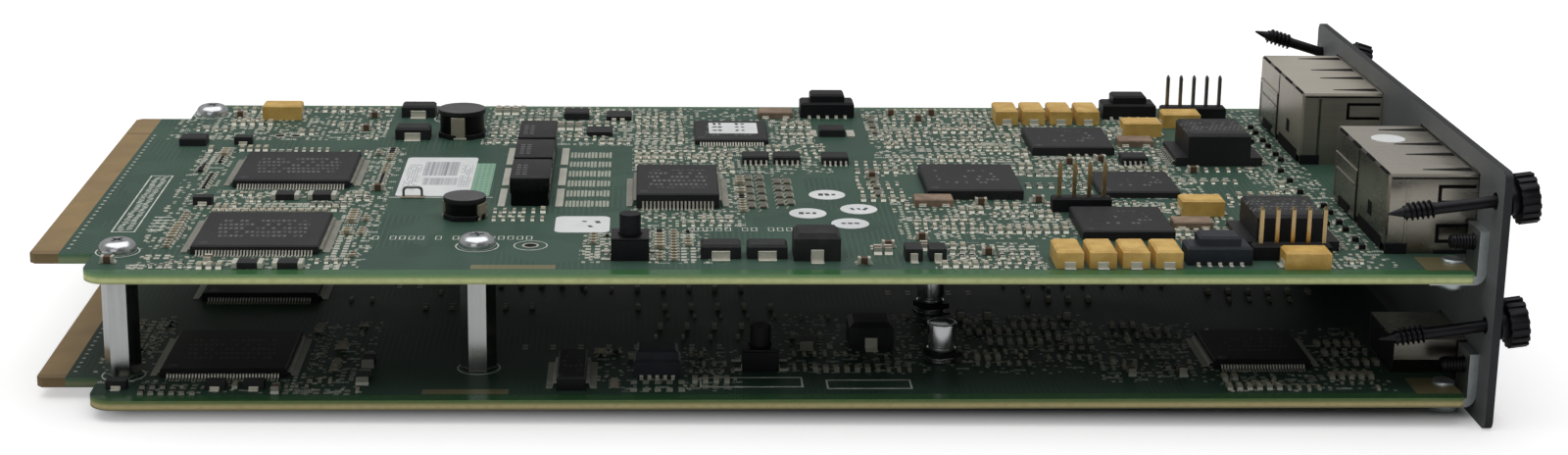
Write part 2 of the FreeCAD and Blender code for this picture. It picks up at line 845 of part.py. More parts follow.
TRANSISTORS = {
    "near_supply": ("upper", share(0.0567, 0.362)),
    "far_supply": ("upper", share(0.0594, 0.730)),
    "lower_tab_supply": ("lower", share(0.017, 0.056)),
    "lower_left_supply": ("lower", share(0.088, 0.053)),
    "lower_right_supply": ("lower", share(0.116, 0.053)),
}
MOULDED_SINGLES = {
    "tab_moulded": share(0.080, 0.911),
    "edge_moulded": from_panel(26.1, 0.041),
    "near_moulded": from_panel(36.5, 0.315),
    "far_moulded": from_panel(36.7, 0.808),
    "jack_moulded": from_panel(27.8, 0.872),
}
MOULDED_ROWS = {"near_row": from_panel(48.1, 0.060), "far_row": from_panel(45.5, 0.906)}
OSCILLATORS = {
    "near_oscillator": from_panel(39.7, 0.243),
    "far_oscillator": from_panel(39.3, 0.737),
    "processor_oscillator": beside(
        PROCESSOR, "-oscillator_lead", "-(processor_width + oscillator_width) / 2 - oscillator_gap"),
    "rear_oscillator": share(0.514, 0.930),
}
DIODES = {
    "coil_diode": share(0.200, 0.775),
    "corner_diode": share(0.198, 0.932),
    "left_edge_diode": EDGE_DIODE,
    "right_edge_diode": beside(EDGE_DIODE, "diode_length + edge_gap"),
}
SMALL_DIODE = share(0.5946, 0.080)
SMALL_DIODES = {
    "left_small_diode": SMALL_DIODE,
    "right_small_diode": beside(SMALL_DIODE, "small_diode_length + small_diode_gap"),
}
TRANSFORMERS = {"near": from_panel(26.5, 0.170), "far": from_panel(26.7, 0.651)}
LINKS = {
    "near": ("upper", from_panel(39.7, 0.066), "link_length"),
    "far": ("upper", from_panel(36.7, 0.938), "link_length"),
    "rear": ("upper", share(0.560, 0.942), "link_length"),
    "lower": ("lower", share(0.408, 0.115), "lower_link_length"),
}
SWITCHES = {"upper": share(0.388, 0.090), "lower": share(0.485, 0.145)}
DRUMS = {"near": share(0.261, 0.292), "far": share(0.241, 0.793)}
CHOKES = {
    "upper_choke": ("upper", beside(EDGE_DIODE, "(3 * diode_length + choke_length) / 2 + 2 * edge_gap")),
    "lower_choke": ("lower", share(0.572, 0.250)),
}
COIL_BLOCKS = share(0.309, 0.532)
HEADERS = {
    "near": (range(5), from_panel(27.4, 0.078)),
    "middle": (range(4), from_panel(56.7, 0.331)),
    "far": (range(5), from_panel(24.1, 0.926)),
}
CANS = {"near_can": share(0.623, 0.172), "far_can": share(0.627, 0.405)}


def chips():
    for name, (tier, spot, length, width, height) in CHIPS.items():
        finish(case(name + "_body", tier, spot, length, width, height, "chip_bevel"), name)
    size = ("small_chip_length", "small_chip_width", "small_chip_height", "chip_bevel")
    members = [case(name, "upper", spot, *size) for name, spot in SMALL_CHIPS.items()]
    thin = ("thin_chip_side", "thin_chip_side", "thin_chip_height")
    members += [plain_block(name, "upper", spot, *thin) for name, spot in THIN_CHIPS.items()]
    group("small_chips", members)


# Transistors, and the ferrite beads in pairs before the video chips
def transistors():
    size = ("transistor_length", "transistor_width", "transistor_height")
    group("transistors", [plain_block(name, *spot, *size) for name, spot in TRANSISTORS.items()])


def ferrite_beads():
    members = []
    before = "-(video_chip_side + bead_width) / 2 - bead_lead"
    for channel in ("near", "far"):
        middle = CHIPS[f"{channel}_video_chip"][1]
        for index in range(2):
            spot = beside(middle, f"{index} * (bead_length + bead_gap)", before)
            size = ("bead_length", "bead_width", "bead_height")
            members.append(plain_block(f"{channel}_bead_{index}", "upper", spot, *size))
    group("ferrite_beads", members)


def moulded_capacitors():
    members = []
    lengthways = ("moulded_length", "moulded_width", "moulded_height", "moulded_bevel")
    crossways = ("moulded_width", "moulded_length", "moulded_height", "moulded_bevel")
    for name, spot in MOULDED_SINGLES.items():
        members.append(case(name, "upper", spot, *lengthways))
    for name, spot in MOULDED_ROWS.items():
        x, y = spot
        for index in range(4):
            member = case(f"{name}_{index}", "upper", spot, *crossways)
            place(member, f"{x} - moulded_width / 2 - {index} * moulded_pitch",
                  f"{y} - moulded_length / 2", UPPER_TOP)
            members.append(member)
    group("moulded_capacitors", members)


def oscillators():
    size = ("oscillator_length", "oscillator_width", "oscillator_height", "oscillator_bevel")
    group("oscillators", [case(name, "upper", spot, *size) for name, spot in OSCILLATORS.items()])


def diodes():
    size = ("diode_length", "diode_width", "diode_height", "diode_bevel")
    members = [case(name, "upper", spot, *size) for name, spot in DIODES.items()]
    small = ("small_diode_length", "small_diode_width", "small_diode_height")
    members += [plain_block(name, "upper", spot, *small) for name, spot in SMALL_DIODES.items()]
    group("power_diodes", members)


def chokes():
    size = ("choke_length", "choke_width", "choke_height", "choke_bevel")
    group("moulded_chokes", [case(name, tier, spot, *size) for name, (tier, spot) in CHOKES.items()])


def coil_blocks():
    x, y = COIL_BLOCKS
    members = []
    size = ("coil_block_length", "coil_block_width", "coil_block_height", "coil_block_bevel")
    for index in range(3):
        member = case(f"coil_block_{index}", "upper", COIL_BLOCKS, *size)
        middle = f"{y} + {index - 1} * coil_block_pitch"
        place(member, f"{x} - coil_block_length / 2", f"{middle} - coil_block_width / 2", UPPER_TOP)
        members.append(member)
    group("coil_blocks", members)


# Transformer modules: a bevelled case on a wider flange that carries the leads
def transformer(name, spot):
    body = new_body(name + "_transformer_body")
    whole = "(transformer_length + 2 * transformer_flange)"
    block(body, whole, "transformer_width", "transformer_flange_height")
    block(body, "transformer_length", "transformer_width", "transformer_height", "transformer_flange")
    dress(body, "Chamfer", top_edges(body), "transformer_bevel")
    x, y = spot
    place(body, f"{x} - {whole} / 2", f"{y} - transformer_width / 2", UPPER_TOP)
    finish(body, name + "_transformer")


# Link sockets: a low housing with a raised crown in the middle
def link_socket(name, tier, spot, length):
    body = new_body(name + "_link_body")
    block(body, length, "link_width", "link_height")
    dress(body, "Chamfer", top_edges(body), "link_bevel")
    side = f"({length} - link_crown_length) / 2"
    block(body, "link_crown_length", "link_width - 2 * link_bevel", "link_height + link_crown_height",
          side, "link_bevel")
    dress(body, "Chamfer", top_edges(body), "link_bevel")
    x, y = spot
    place(body, f"{x} - {length} / 2", f"{y} - link_width / 2", BOARD_TOPS[tier])
    finish(body, name + "_link_socket")


# Push switches: a square body with a round well, and a plunger that travels in it
def push_switch(tier, spot):
    body = new_body(tier + "_switch_case")
    block(body, "switch_side", "switch_side", "switch_height")
    dress(body, "Chamfer", top_edges(body), "switch_bevel")
    well = new_sketch(body, "XY_Plane", tier + "_switch_well")
    bind(well, "AttachmentOffset.Base.z", "switch_height")
    circle(well, "switch_side / 2", "switch_side / 2", "plunger_diameter + 2 * plunger_gap")
    cut(body, well, "plunger_sink + plunger_room")
    x, y = spot
    place(body, f"{x} - switch_side / 2", f"{y} - switch_side / 2", BOARD_TOPS[tier])
    finish(body, tier + "_switch_body")
    plunger = new_body(tier + "_switch_button")
    foot = new_sketch(plunger, "XY_Plane", tier + "_plunger_foot")
    circle(foot, "0", "0", "plunger_diameter")
    pad(plunger, foot, "plunger_sink + plunger_rise")
    place(plunger, x, y, f"{BOARD_TOPS[tier]} + switch_height - plunger_sink")
    finish(plunger, tier + "_switch_plunger")


# Drum coils: a waisted core on a square base with cut corners
def drum_coil(name, spot):
    body = new_body(name + "_drum_body")
    share = f"{name}_drum_share"
    half = f"({share} * drum_base / 2)"
    inner = f"({share} * (drum_base / 2 - drum_corner))"
    sketch = new_sketch(body, "XY_Plane", name + "_drum_base")
    outline(sketch, [
        (half, f"-{inner}"),
        (half, inner),
        (inner, half),
        (f"-{inner}", half),
        (f"-{half}", inner),
        (f"-{half}", f"-{inner}"),
        (f"-{inner}", f"-{half}"),
        (inner, f"-{half}"),
    ])
    pad(body, sketch, "drum_base_height")
    profile = new_sketch(body, "XZ_Plane", name + "_drum_profile")
    waist = f"{share} * drum_waist / 2"
    rim = f"{share} * drum_diameter / 2"
    top = f"{name}_drum_height"
    outline(profile, [
        ("0", "drum_base_height / 2"),
        (waist, "drum_base_height / 2"),
        (waist, f"{top} - drum_rim"),
        (rim, f"{top} - drum_rim"),
        (rim, top),
        ("0", top),
    ])
    turned(body, profile)
    x, y = spot
    place(body, x, y, UPPER_TOP)
    return body


# Pin headers: a bevelled strip with square pins through it
def header(name, row, spot):
    x, y = spot
    length = f"({len(row)} * pin_pitch)"
    base = new_body(name + "_header_base")
    block(base, length, "header_width", "header_height")
    dress(base, "Chamfer", top_edges(base), "header_bevel")
    holes = new_sketch(base, "XY_Plane", name + "_header_holes")
    pins = []
    for index in row:
        centre = f"({index} + 0.5) * pin_pitch"
        middle = "header_width / 2"
        rectangle(holes, f"{centre} - pin_side / 2", f"{middle} - pin_side / 2",
                  f"{centre} + pin_side / 2", f"{middle} + pin_side / 2")
        pin = new_body(f"{name}_pin_{index}")
        block(pin, "pin_side", "pin_side", "pin_height")
        dress(pin, "Chamfer", top_edges(pin), "pin_side / 4")
        place(pin, f"{x} - {length} / 2 + {centre} - pin_side / 2", f"{y} - pin_side / 2", UPPER_TOP)
        pins.append(pin)
    cut(base, holes)
    place(base, f"{x} - {length} / 2", f"{y} - header_width / 2", UPPER_TOP)
    return base, pins


def headers():
    bases = []
    pins = []
    for name, (row, spot) in HEADERS.items():
        base, members = header(name, row, spot)
        bases.append(base)
        pins += members
    group("header_bases", bases)
    group("header_pins", pins)


# Can capacitors: a can on a square base
def can_capacitor(name, spot):
    body = new_body(name + "_base")
    block(body, "can_base", "can_base", "can_base_height")
    x, y = spot
    place(body, f"{x} - can_base / 2", f"{y} - can_base / 2", LOWER_TOP)
    can = new_body(name)
    foot = new_sketch(can, "XY_Plane", name + "_foot")
    circle(foot, "0", "0", "can_diameter")
    pad(can, foot, "can_height")
    place(can, x, y, f"{LOWER_TOP} + can_base_height")
    return [body, can]


front_panel()
board("upper_board", "board_rise + board_pitch")
board("lower_board", "board_rise")
for post_name, post_spot in POSTS.items():
    post(post_name, *post_spot)
post_screws()
brackets()
for thumb_side, thumb_line in THUMB_LINES.items():
    for thumb_tier, thumb_level in BOARD_TOPS.items():
        thumbscrew(f"{thumb_side}_{thumb_tier}", thumb_line, thumb_level)
for channel_name, jack_side in JACK_SIDES.items():
    jack_shield(channel_name, jack_side)
    jack_insert(channel_name, jack_side)
for channel_name, socket_side in SOCKET_SIDES.items():
    socket_shell(channel_name, socket_side)
    socket_insert(channel_name, socket_side)
chips()
transistors()
ferrite_beads()
moulded_capacitors()
oscillators()
diodes()
chokes()
coil_blocks()
for channel_name, module_spot in TRANSFORMERS.items():
    transformer(channel_name, module_spot)
for link_name, link_facts in LINKS.items():
    link_socket(link_name, *link_facts)
for switch_tier, switch_spot in SWITCHES.items():
    push_switch(switch_tier, switch_spot)
group("drum_coils", [drum_coil(drum_name, drum_spot) for drum_name, drum_spot in DRUMS.items()])
headers()
can_parts = []
for can_name, can_spot in CANS.items():
    can_parts += can_capacitor(can_name, can_spot)
group("can_capacitors", can_parts)

doc.recompute()
failed = [item.Label for item in doc.Objects if {"Invalid", "Error"} & set(item.State)]
failed += [item.Label for item in pieces if item.Shape.isNull() or not item.Shape.isValid()]
if failed:
    raise ValueError(f"these did not build: {failed}")
os.makedirs("parts", exist_ok=True)
for item in pieces:
    item.Shape.exportStep(f"parts/{item.Label}.step")
print(len(pieces), "pieces written")
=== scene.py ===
import json
import math
import random

import bpy
from mathutils import Matrix, Vector


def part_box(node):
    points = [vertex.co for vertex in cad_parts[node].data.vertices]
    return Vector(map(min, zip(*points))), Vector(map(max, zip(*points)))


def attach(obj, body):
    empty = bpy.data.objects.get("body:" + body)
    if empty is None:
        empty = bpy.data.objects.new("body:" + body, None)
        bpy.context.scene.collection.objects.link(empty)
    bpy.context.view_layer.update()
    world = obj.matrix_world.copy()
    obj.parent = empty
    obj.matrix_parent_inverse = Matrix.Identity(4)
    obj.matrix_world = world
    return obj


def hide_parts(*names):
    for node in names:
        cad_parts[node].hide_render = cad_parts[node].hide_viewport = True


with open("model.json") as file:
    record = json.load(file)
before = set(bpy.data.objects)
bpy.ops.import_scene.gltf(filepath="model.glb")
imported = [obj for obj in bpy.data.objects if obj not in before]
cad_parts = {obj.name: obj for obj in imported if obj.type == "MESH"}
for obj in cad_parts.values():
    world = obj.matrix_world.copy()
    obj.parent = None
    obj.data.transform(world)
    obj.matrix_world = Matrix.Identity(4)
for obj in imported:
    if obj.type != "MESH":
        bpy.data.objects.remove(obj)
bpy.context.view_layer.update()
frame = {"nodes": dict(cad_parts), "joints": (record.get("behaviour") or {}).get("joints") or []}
nodes = frame["nodes"]
mm = 0.001
dice = random.Random(41)
print("frame loaded,", len(nodes), "nodes")


def boxOf(node):  # a CAD node's corners, in mm
    low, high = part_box(node)
    return low / mm, high / mm


upperLow, upperHigh = boxOf("upper_board")
lowerLow, lowerHigh = boxOf("lower_board")
nearEdge = upperLow.y
tiers = {"upper": upperHigh.z, "lower": lowerHigh.z}


def spotOn(tier, x, y, rise=0.0):  # x from the panel's inner face, y from the near board edge
    return Vector((x, nearEdge + y, tiers[tier] + rise))


def solidBoxes(node):  # the boxes of the separate solids in one CAD node, in mm
    mesh = nodes[node].data
    keys = [tuple(round(c * 1e6) for c in v.co) for v in mesh.vertices]
    leader = {key: key for key in keys}

    def top(key):
        while leader[key] != key:
            leader[key] = leader[leader[key]]
            key = leader[key]
        return key

    for face in mesh.polygons:
        first = top(keys[face.vertices[0]])
        for i in face.vertices[1:]:
            leader[top(keys[i])] = first
    groups = {}
    for key in leader:
        groups.setdefault(top(key), []).append(key)
    boxes = []
    for members in groups.values():
        low = Vector([min(m[i] for m in members) / 1000 for i in range(3)])
        high = Vector([max(m[i] for m in members) / 1000 for i in range(3)])
        boxes.append((low, high))
    return sorted(boxes, key=lambda b: (round(b[0].x, 2), round(b[0].y, 2)))


# shader maths on sockets
class Wire:
    def __init__(self, tree, socket=None):
        self.tree = tree
        self.socket = socket

    def node(self, kind, settings, inputs, output=0):
        made = self.tree.nodes.new(kind)
        for key, value in settings.items():
            setattr(made, key, value)
        for key, value in inputs.items():
            socket = made.inputs[key]
            if isinstance(value, Wire):
                self.tree.links.new(value.socket, socket)
            elif socket.type == "RGBA":
                socket.default_value = (*value[:3], 1.0)
            else:
                socket.default_value = value
        return Wire(self.tree, made.outputs[output])

    def maths(self, operation, *terms):
        return self.node("ShaderNodeMath", {"operation": operation}, dict(enumerate(terms)))

    def __add__(self, other):
        return self.maths("ADD", self, other)

    __radd__ = __add__

    def __sub__(self, other):
        return self.maths("SUBTRACT", self, other)

    def __rsub__(self, other):
        return self.maths("SUBTRACT", other, self)

    def __mul__(self, other):
        return self.maths("MULTIPLY", self, other)

    __rmul__ = __mul__

    def __truediv__(self, other):
        return self.maths("DIVIDE", self, other)

    def __rtruediv__(self, other):
        return self.maths("DIVIDE", other, self)

    def over(self, limit):
        return self.maths("GREATER_THAN", self, limit)

    def under(self, limit):
        return self.maths("LESS_THAN", self, limit)

    def within(self, low, high):
        return self.over(low) * self.under(high)

    def size(self):
        return self.maths("ABSOLUTE", self)

    def wrap(self, step):
        return self.maths("FLOORED_MODULO", self, step)

    def floor(self):
        return self.maths("FLOOR", self)

    def most(self, other):
        return self.maths("MAXIMUM", self, other)

    def clear(self, other):  # this mask where the other one isn't
        return self * (1 - other)

    def ease(self, low, high):
        made = {"Value": self, "From Min": low, "From Max": high}
        return self.node("ShaderNodeMapRange", {"interpolation_type": "SMOOTHSTEP"}, made)

    def mix(self, share, first, second):
        return self.node("ShaderNodeMix", {"data_type": "RGBA"}, {0: share, 6: first, 7: second}, 2)

    def axes(self):
        return [self.node("ShaderNodeSeparateXYZ", {}, {0: self}, i) for i in range(3)]

    def axesInMm(self):
        return [axis * 1000.0 for axis in self.axes()]

    def chance(self, column, row):  # one random value for each cell of a grid
        cell = self.node("ShaderNodeCombineXYZ", {}, {0: column, 1: row})
        return self.node("ShaderNodeTexWhiteNoise", {"noise_dimensions": "2D"}, {"Vector": cell})

    def cells(self, scale, settings, output=0, scatter=1.0):
        values = {"Vector": self, "Scale": scale, "Randomness": scatter}
        return self.node("ShaderNodeTexVoronoi", settings, values, output)

    def ray(self, kind):
        return self.node("ShaderNodeLightPath", {}, {}, kind)

    def grain(self, scale, detail=2.0):
        values = {"Vector": self, "Scale": scale, "Detail": detail}
        return self.node("ShaderNodeTexNoise", {}, values)

    def relief(self, depth):  # bump from this height, depth in mm
        return self.node("ShaderNodeBump", {}, {"Height": self, "Distance": depth * mm, "Strength": 1.0})


def finishOf(name, paint, specular=None):
    look = bpy.data.materials.new(name)
    look.use_nodes = True
    shader = look.node_tree.nodes["Principled BSDF"]
    pen = Wire(look.node_tree)
    place = pen.node("ShaderNodeTexCoord", {}, {}, "Object")
    facing = pen.node("ShaderNodeTexCoord", {}, {}, "Normal")
    made = paint(pen, place, facing)
    if specular is not None:
        made["Specular IOR Level"] = specular
    for key, value in made.items():
        if isinstance(value, Wire):
            look.node_tree.links.new(value.socket, shader.inputs[key])
        elif isinstance(value, tuple):
            shader.inputs[key].default_value = (*value, 1.0)
        else:
            shader.inputs[key].default_value = value
    return look


def shaded(tone, share):
    return tuple(min(1.0, c * share) for c in tone)


# painted light: the inner face gets a lighter grey than the outer face and edges, for the lamp above
paintTones = {"outer": (0.016, 0.017, 0.019), "inner": (0.146, 0.155, 0.156), "dull": (0.07, 0.075, 0.08)}


def panelPaint(pen, place, facing):
    grit = place.grain(2400, 3)
    cloud = place.grain(60, 4)
    # painted light: faces turned back into the card take the lighter inner tone
    inner = facing.axes()[0].under(-0.5)
    tone = pen.mix(inner, paintTones["outer"], paintTones["inner"])
    dulled = pen.mix(cloud.ease(0.35, 0.7) * 0.30, tone, paintTones["dull"])
    return {"Base Color": dulled, "Roughness": 0.40 + grit * 0.25, "Normal": grit.relief(0.05)}


boardTones = {
    "mask": (0.040, 0.088, 0.062),
    "maskDark": (0.030, 0.070, 0.050),
    # painted shade: the lower board's greens are darker, for the shade under the upper board
    "maskShare": {"upper": 1.0, "lower": 0.62},
    "padShare": {"upper": 0.42, "lower": 0.10},
    "trace": (0.058, 0.112, 0.082),
    "strip": (0.046, 0.140, 0.050),
    "gold": (0.450, 0.300, 0.130),
    "goldDark": (0.220, 0.140, 0.065),
    "bareLand": (0.270, 0.235, 0.120),
    "ink": (0.640, 0.660, 0.600),
    "tin": (0.580, 0.570, 0.510),
    "pad": (0.470, 0.465, 0.375),
    "hole": (0.020, 0.022, 0.018),
    "upperEdge": ((0.35, 0.38, 0.18), (0.66, 0.71, 0.34), (0.19, 0.35, 0.16)),  # foot, middle and top
    # painted shade: the lower board's edge tones are darker than the upper board's
    "lowerEdge": ((0.18, 0.16, 0.09), (0.56, 0.48, 0.24), (0.12, 0.20, 0.07)),
}
boardMarks = {  # in mm, y from the near edge
    "traceStep": 0.95, "traceWidth": 0.30, "patchScale": 95.0, "nearStrip": 2.6, "farStrip": 1.6,
    "viaCell": 2.3, "viaRing": 0.30, "viaHole": 0.13, "inkCell": 4.6,
    "tabRowX": -224.6, "tabRowStep": 2.2, "tabRowEnds": (13.0, 90.0),
    "padStep": (1.15, 1.5), "padX": (0.22, 0.80), "padY": (0.25, 1.15),
    "fingerEnd": -225.6, "fingerGapY": 90.5, "fingerGap": 0.35, "nearFingers": 13.0,
    "bareStrip": {"upper": (-160.7, -147.5), "lower": (-168.6, -155.0)}, "bareStripY": (2.9, 5.2),
    "footX": (-10.3, -2.7), "nearFootY": (2.1, 9.8), "farFootY": (103.4, 110.2), "cornerEnd": 10.0,
}
busyAreas = {  # where pads and print crowd: two corners, y from the near edge
    "upper": [
        (-222, 86, -182, 112), (-214, 33, -178, 50), (-214, 2.5, -178, 10), (-214, 14, -207, 36),
        (-214, 50, -207, 80), (-184, 8, -177, 80), (-164, 82, -102, 112), (-136, 62, -100, 84),
        (-144, 6, -139, 25), (-133, 6, -123, 25), (-136, 26, -117, 40), (-122, 36, -116, 62),
        (-92, 60, -36, 112), (-92, 20, -56, 46), (-88, 2.5, -70, 18), (-60, 34, -36, 62),
        (-48, 16, -36, 34), (-26, 2, -14, 112),
    ],
    "lower": [
        (-222, 8, -212, 40), (-190, 9, -178, 40), (-213, 2.8, -178, 10), (-142, 4, -118, 26),
        (-112, 12, -58, 44), (-60, 8, -38, 40), (-41, 3, -13, 36),
    ],
}


def boardMask(tier):
    low, high = boxOf(tier + "_board")

    def lines(along, step, width):
        return (along.wrap(step) - step / 2).size().under(width / 2)

    def paint(pen, place, facing):
        tones, marks = boardTones, boardMarks
        x, y, z = place.axesInMm()
        y = y - nearEdge
        flat = facing.axes()[2].size().over(0.5)
        cloud = place.grain(90, 4)

        # traces in patches of one direction, and copper pours
        patch = place.cells(marks["patchScale"], {"distance": "MANHATTAN"}, "Color").axes()[0]
        step, width = marks["traceStep"], marks["traceWidth"]
        runs = lines(x, step, width) * patch.under(0.24)
        runs = runs + lines(y, step, width) * patch.within(0.24, 0.50)
        runs = runs + lines(x + y, step * 1.4, width * 1.4) * patch.within(0.50, 0.66)
        pour = patch.over(0.82)
        # the lower tier's greens are darkened here: painted shade
        dark, plain, trace, strip = [
            shaded(tones[key], tones["maskShare"][tier]) for key in ("maskDark", "mask", "trace", "strip")]
        green = pen.mix(cloud.ease(0.3, 0.7), dark, plain)
        green = pen.mix((runs + pour * 0.6) * 0.75, green, trace)
        edgeGap = y.under(marks["nearStrip"]).most(y.over(upperHigh.y - nearEdge - marks["farStrip"]))
        green = pen.mix(edgeGap * 0.85, green, strip)
        busy = None
        for x0, y0, x1, y1 in busyAreas[tier]:
            area = x.within(x0, x1) * y.within(y0, y1)
            busy = area if busy is None else busy.most(area)
        busy = busy.clear(edgeGap)

        # vias, with one row of them along the tab
        flatCells = {"voronoi_dimensions": "2D"}
        away = place.cells(1000.0 / marks["viaCell"], flatCells, 0, 0.85) * marks["viaCell"]
        besideX = x - marks["tabRowX"]
        besideY = y.wrap(marks["tabRowStep"]) - marks["tabRowStep"] / 2
        tabRow = (besideX * besideX + besideY * besideY).under(0.10) * y.within(*marks["tabRowEnds"])
        ring = (away.under(marks["viaRing"]) * busy).most(tabRow)
        # the dark via centres are painted shade in the holes
        hole = away.under(marks["viaHole"]) * busy

        # short strokes of print, and pads on a grid
        spots = [place.cells(1000.0 / marks["inkCell"], flatCells, output, 0.7) for output in (1, 2)]
        odds = spots[0].axes()
        middle = spots[1].axesInMm()
        besideX = (x - middle[0]).size()
        besideY = (y + nearEdge - middle[1]).size()
        strokes = (x * 2.6 + odds[1] * 5.0).wrap(1.0).over(0.34)
        rung = (y * 2.2 + x * 1.3).wrap(1.0).over(0.3)
        stroke = besideX.under(0.6 + odds[2] * 0.8) * besideY.under(0.42) * strokes * rung
        ink = stroke * odds[0].over(0.25) * busy
        stepX, stepY = marks["padStep"]
        chance = pen.chance((x / stepX).floor(), (y / stepY).floor())
        pads = x.wrap(stepX).within(*marks["padX"]) * y.wrap(stepY).within(*marks["padY"])
        pads = pads * chance.under(tones["padShare"][tier]) * busy
        colour = pen.mix(pads, green, tones["pad"])
        colour = pen.mix(ring, colour, tones["tin"])
        colour = pen.mix(hole, colour, tones["hole"])
        colour = pen.mix(ink * 0.95, colour, tones["ink"])

        # gilt tab and bare lands
        finger = x.under(marks["fingerEnd"])
        rub = place.grain(140, 5)
        gold = pen.mix(rub.ease(0.3, 0.75), shaded(tones["gold"], 0.82), tones["gold"])
        gap = (y - marks["fingerGapY"]).size().under(marks["fingerGap"])
        gap = gap.most(y.under(marks["nearFingers"]) * 0.55)
        gold = pen.mix(gap, gold, tones["goldDark"])
        bare = x.within(*marks["bareStrip"][tier]) * y.within(*marks["bareStripY"])
        nearFoot = x.within(*marks["footX"]) * y.within(*marks["nearFootY"])
        farFoot = x.within(*marks["footX"]) * y.within(*marks["farFootY"])
        gold = pen.mix(finger, tones["bareLand"], gold)
        metal = finger.most(bare * 0.8).most(nearFoot).most(farFoot)
        colour = pen.mix(metal, colour, gold)

        # the sawn edge, from foot to brow
        rise = (z - low.z) / (high.z - low.z)
        foot, belly, brow = tones[tier + "Edge"]
        cut = pen.mix(rise.ease(0.0, 0.28), foot, belly)
        cut = pen.mix(rise.ease(0.38, 0.86), cut, brow)
        glow = place.grain(700, 3)
        cut = pen.mix(glow.ease(0.4, 0.7) * 0.25, cut, shaded(belly, 0.5))
        cut = pen.mix(x.under(low.x + marks["cornerEnd"]) * 0.7, cut, shaded(tones["mask"], 1.4))
        cut = pen.mix(finger * 0.85, cut, tones["goldDark"])
        colour = pen.mix(flat, cut, colour)
        rough = 0.42 + cloud * 0.16 + ink * 0.2 + (1 - flat) * 0.25 - edgeGap * flat * 0.30
        height = (runs + pour) * 0.5 + ring * 0.6 + ink * 0.4 + pads * 0.6
        return {
            "Base Color": colour,
            "Metallic": (metal * 0.55 + ring * 0.5) * flat,
            "Roughness": rough - metal * flat * 0.12,
            "Normal": (height * flat).relief(0.035),
        }
    return paint


def metalFinish(tone, rough, stretch=(1.0, 1.0, 1.0), depth=0.004, metallic=1.0, topShare=1.0):
    def paint(pen, place, facing):
        drawn = pen.node("ShaderNodeMapping", {}, {"Vector": place, "Scale": stretch})
        streaks = drawn.grain(1500, 4)
        cloud = place.grain(190, 4)
        shade = (streaks * 0.45 + cloud * 0.55).ease(0.3, 0.7)
        made = pen.mix(shade, shaded(tone, 0.86), shaded(tone, 1.05))
        if topShare != 1.0:  # painted light: faces that look up are made lighter
            rise = (place.axes()[2] * 1000.0).ease(tiers["upper"], tiers["upper"] + 9.0)
            made = pen.mix((1 - rise) * 0.5, made, (0.02, 0.02, 0.015))  # painted shade and reflection: darker towards the board
            upward = facing.axes()[2]
            made = pen.mix(upward.within(0.3, 0.9), made, shaded(tone, 0.30))  # painted shade on the folded edges
            made = pen.mix(upward.over(0.9), made, shaded(tone, topShare))
        return {
            "Base Color": made,
            "Metallic": metallic,
            "Roughness": rough + (streaks - 0.5) * 0.14 + (cloud - 0.5) * 0.12,
            "Normal": streaks.relief(depth),
        }
    return paint


def mouldedFinish(tone, rough, depth=0.02, fleck=1.6):
    def paint(pen, place, facing):
        grit = place.grain(3200, 3)
        cloud = place.grain(260, 3)
        dusty = cloud.ease(0.40, 0.75) * 0.45 + grit.ease(0.5, 0.8) * 0.25
        return {
            "Base Color": pen.mix(dusty, tone, tuple(c * fleck + 0.004 for c in tone)),
            "Roughness": rough + (grit - 0.5) * 0.30,
            "Normal": grit.relief(depth),
        }
    return paint


def ochreMoulding(pen, place, facing):
    grit = place.grain(2600, 3)
    cloud = place.grain(320, 4)
    tone = pen.mix(cloud.ease(0.3, 0.7), (0.600, 0.355, 0.080), (0.780, 0.510, 0.140))
    tone = pen.mix(grit.ease(0.55, 0.8) * 0.3, tone, (0.30, 0.16, 0.03))
    return {"Base Color": tone, "Roughness": 0.44 + (grit - 0.5) * 0.25, "Normal": grit.relief(0.03)}


def ceramicFinish(tone):
    def paint(pen, place, facing):
        grit = place.grain(4000, 3)
        cloud = place.grain(500, 3)
        made = pen.mix(cloud.ease(0.3, 0.7), shaded(tone, 0.75), shaded(tone, 1.15))
        return {"Base Color": made, "Roughness": 0.50 + grit * 0.2, "Normal": grit.relief(0.015)}
    return paint


# the lower share darkens chips on the lower board: painted shade
chipTones = {"case": (0.019, 0.019, 0.021), "mark": (0.185, 0.185, 0.180), "dust": (0.029, 0.029, 0.031),
             "lowerShare": 0.45}


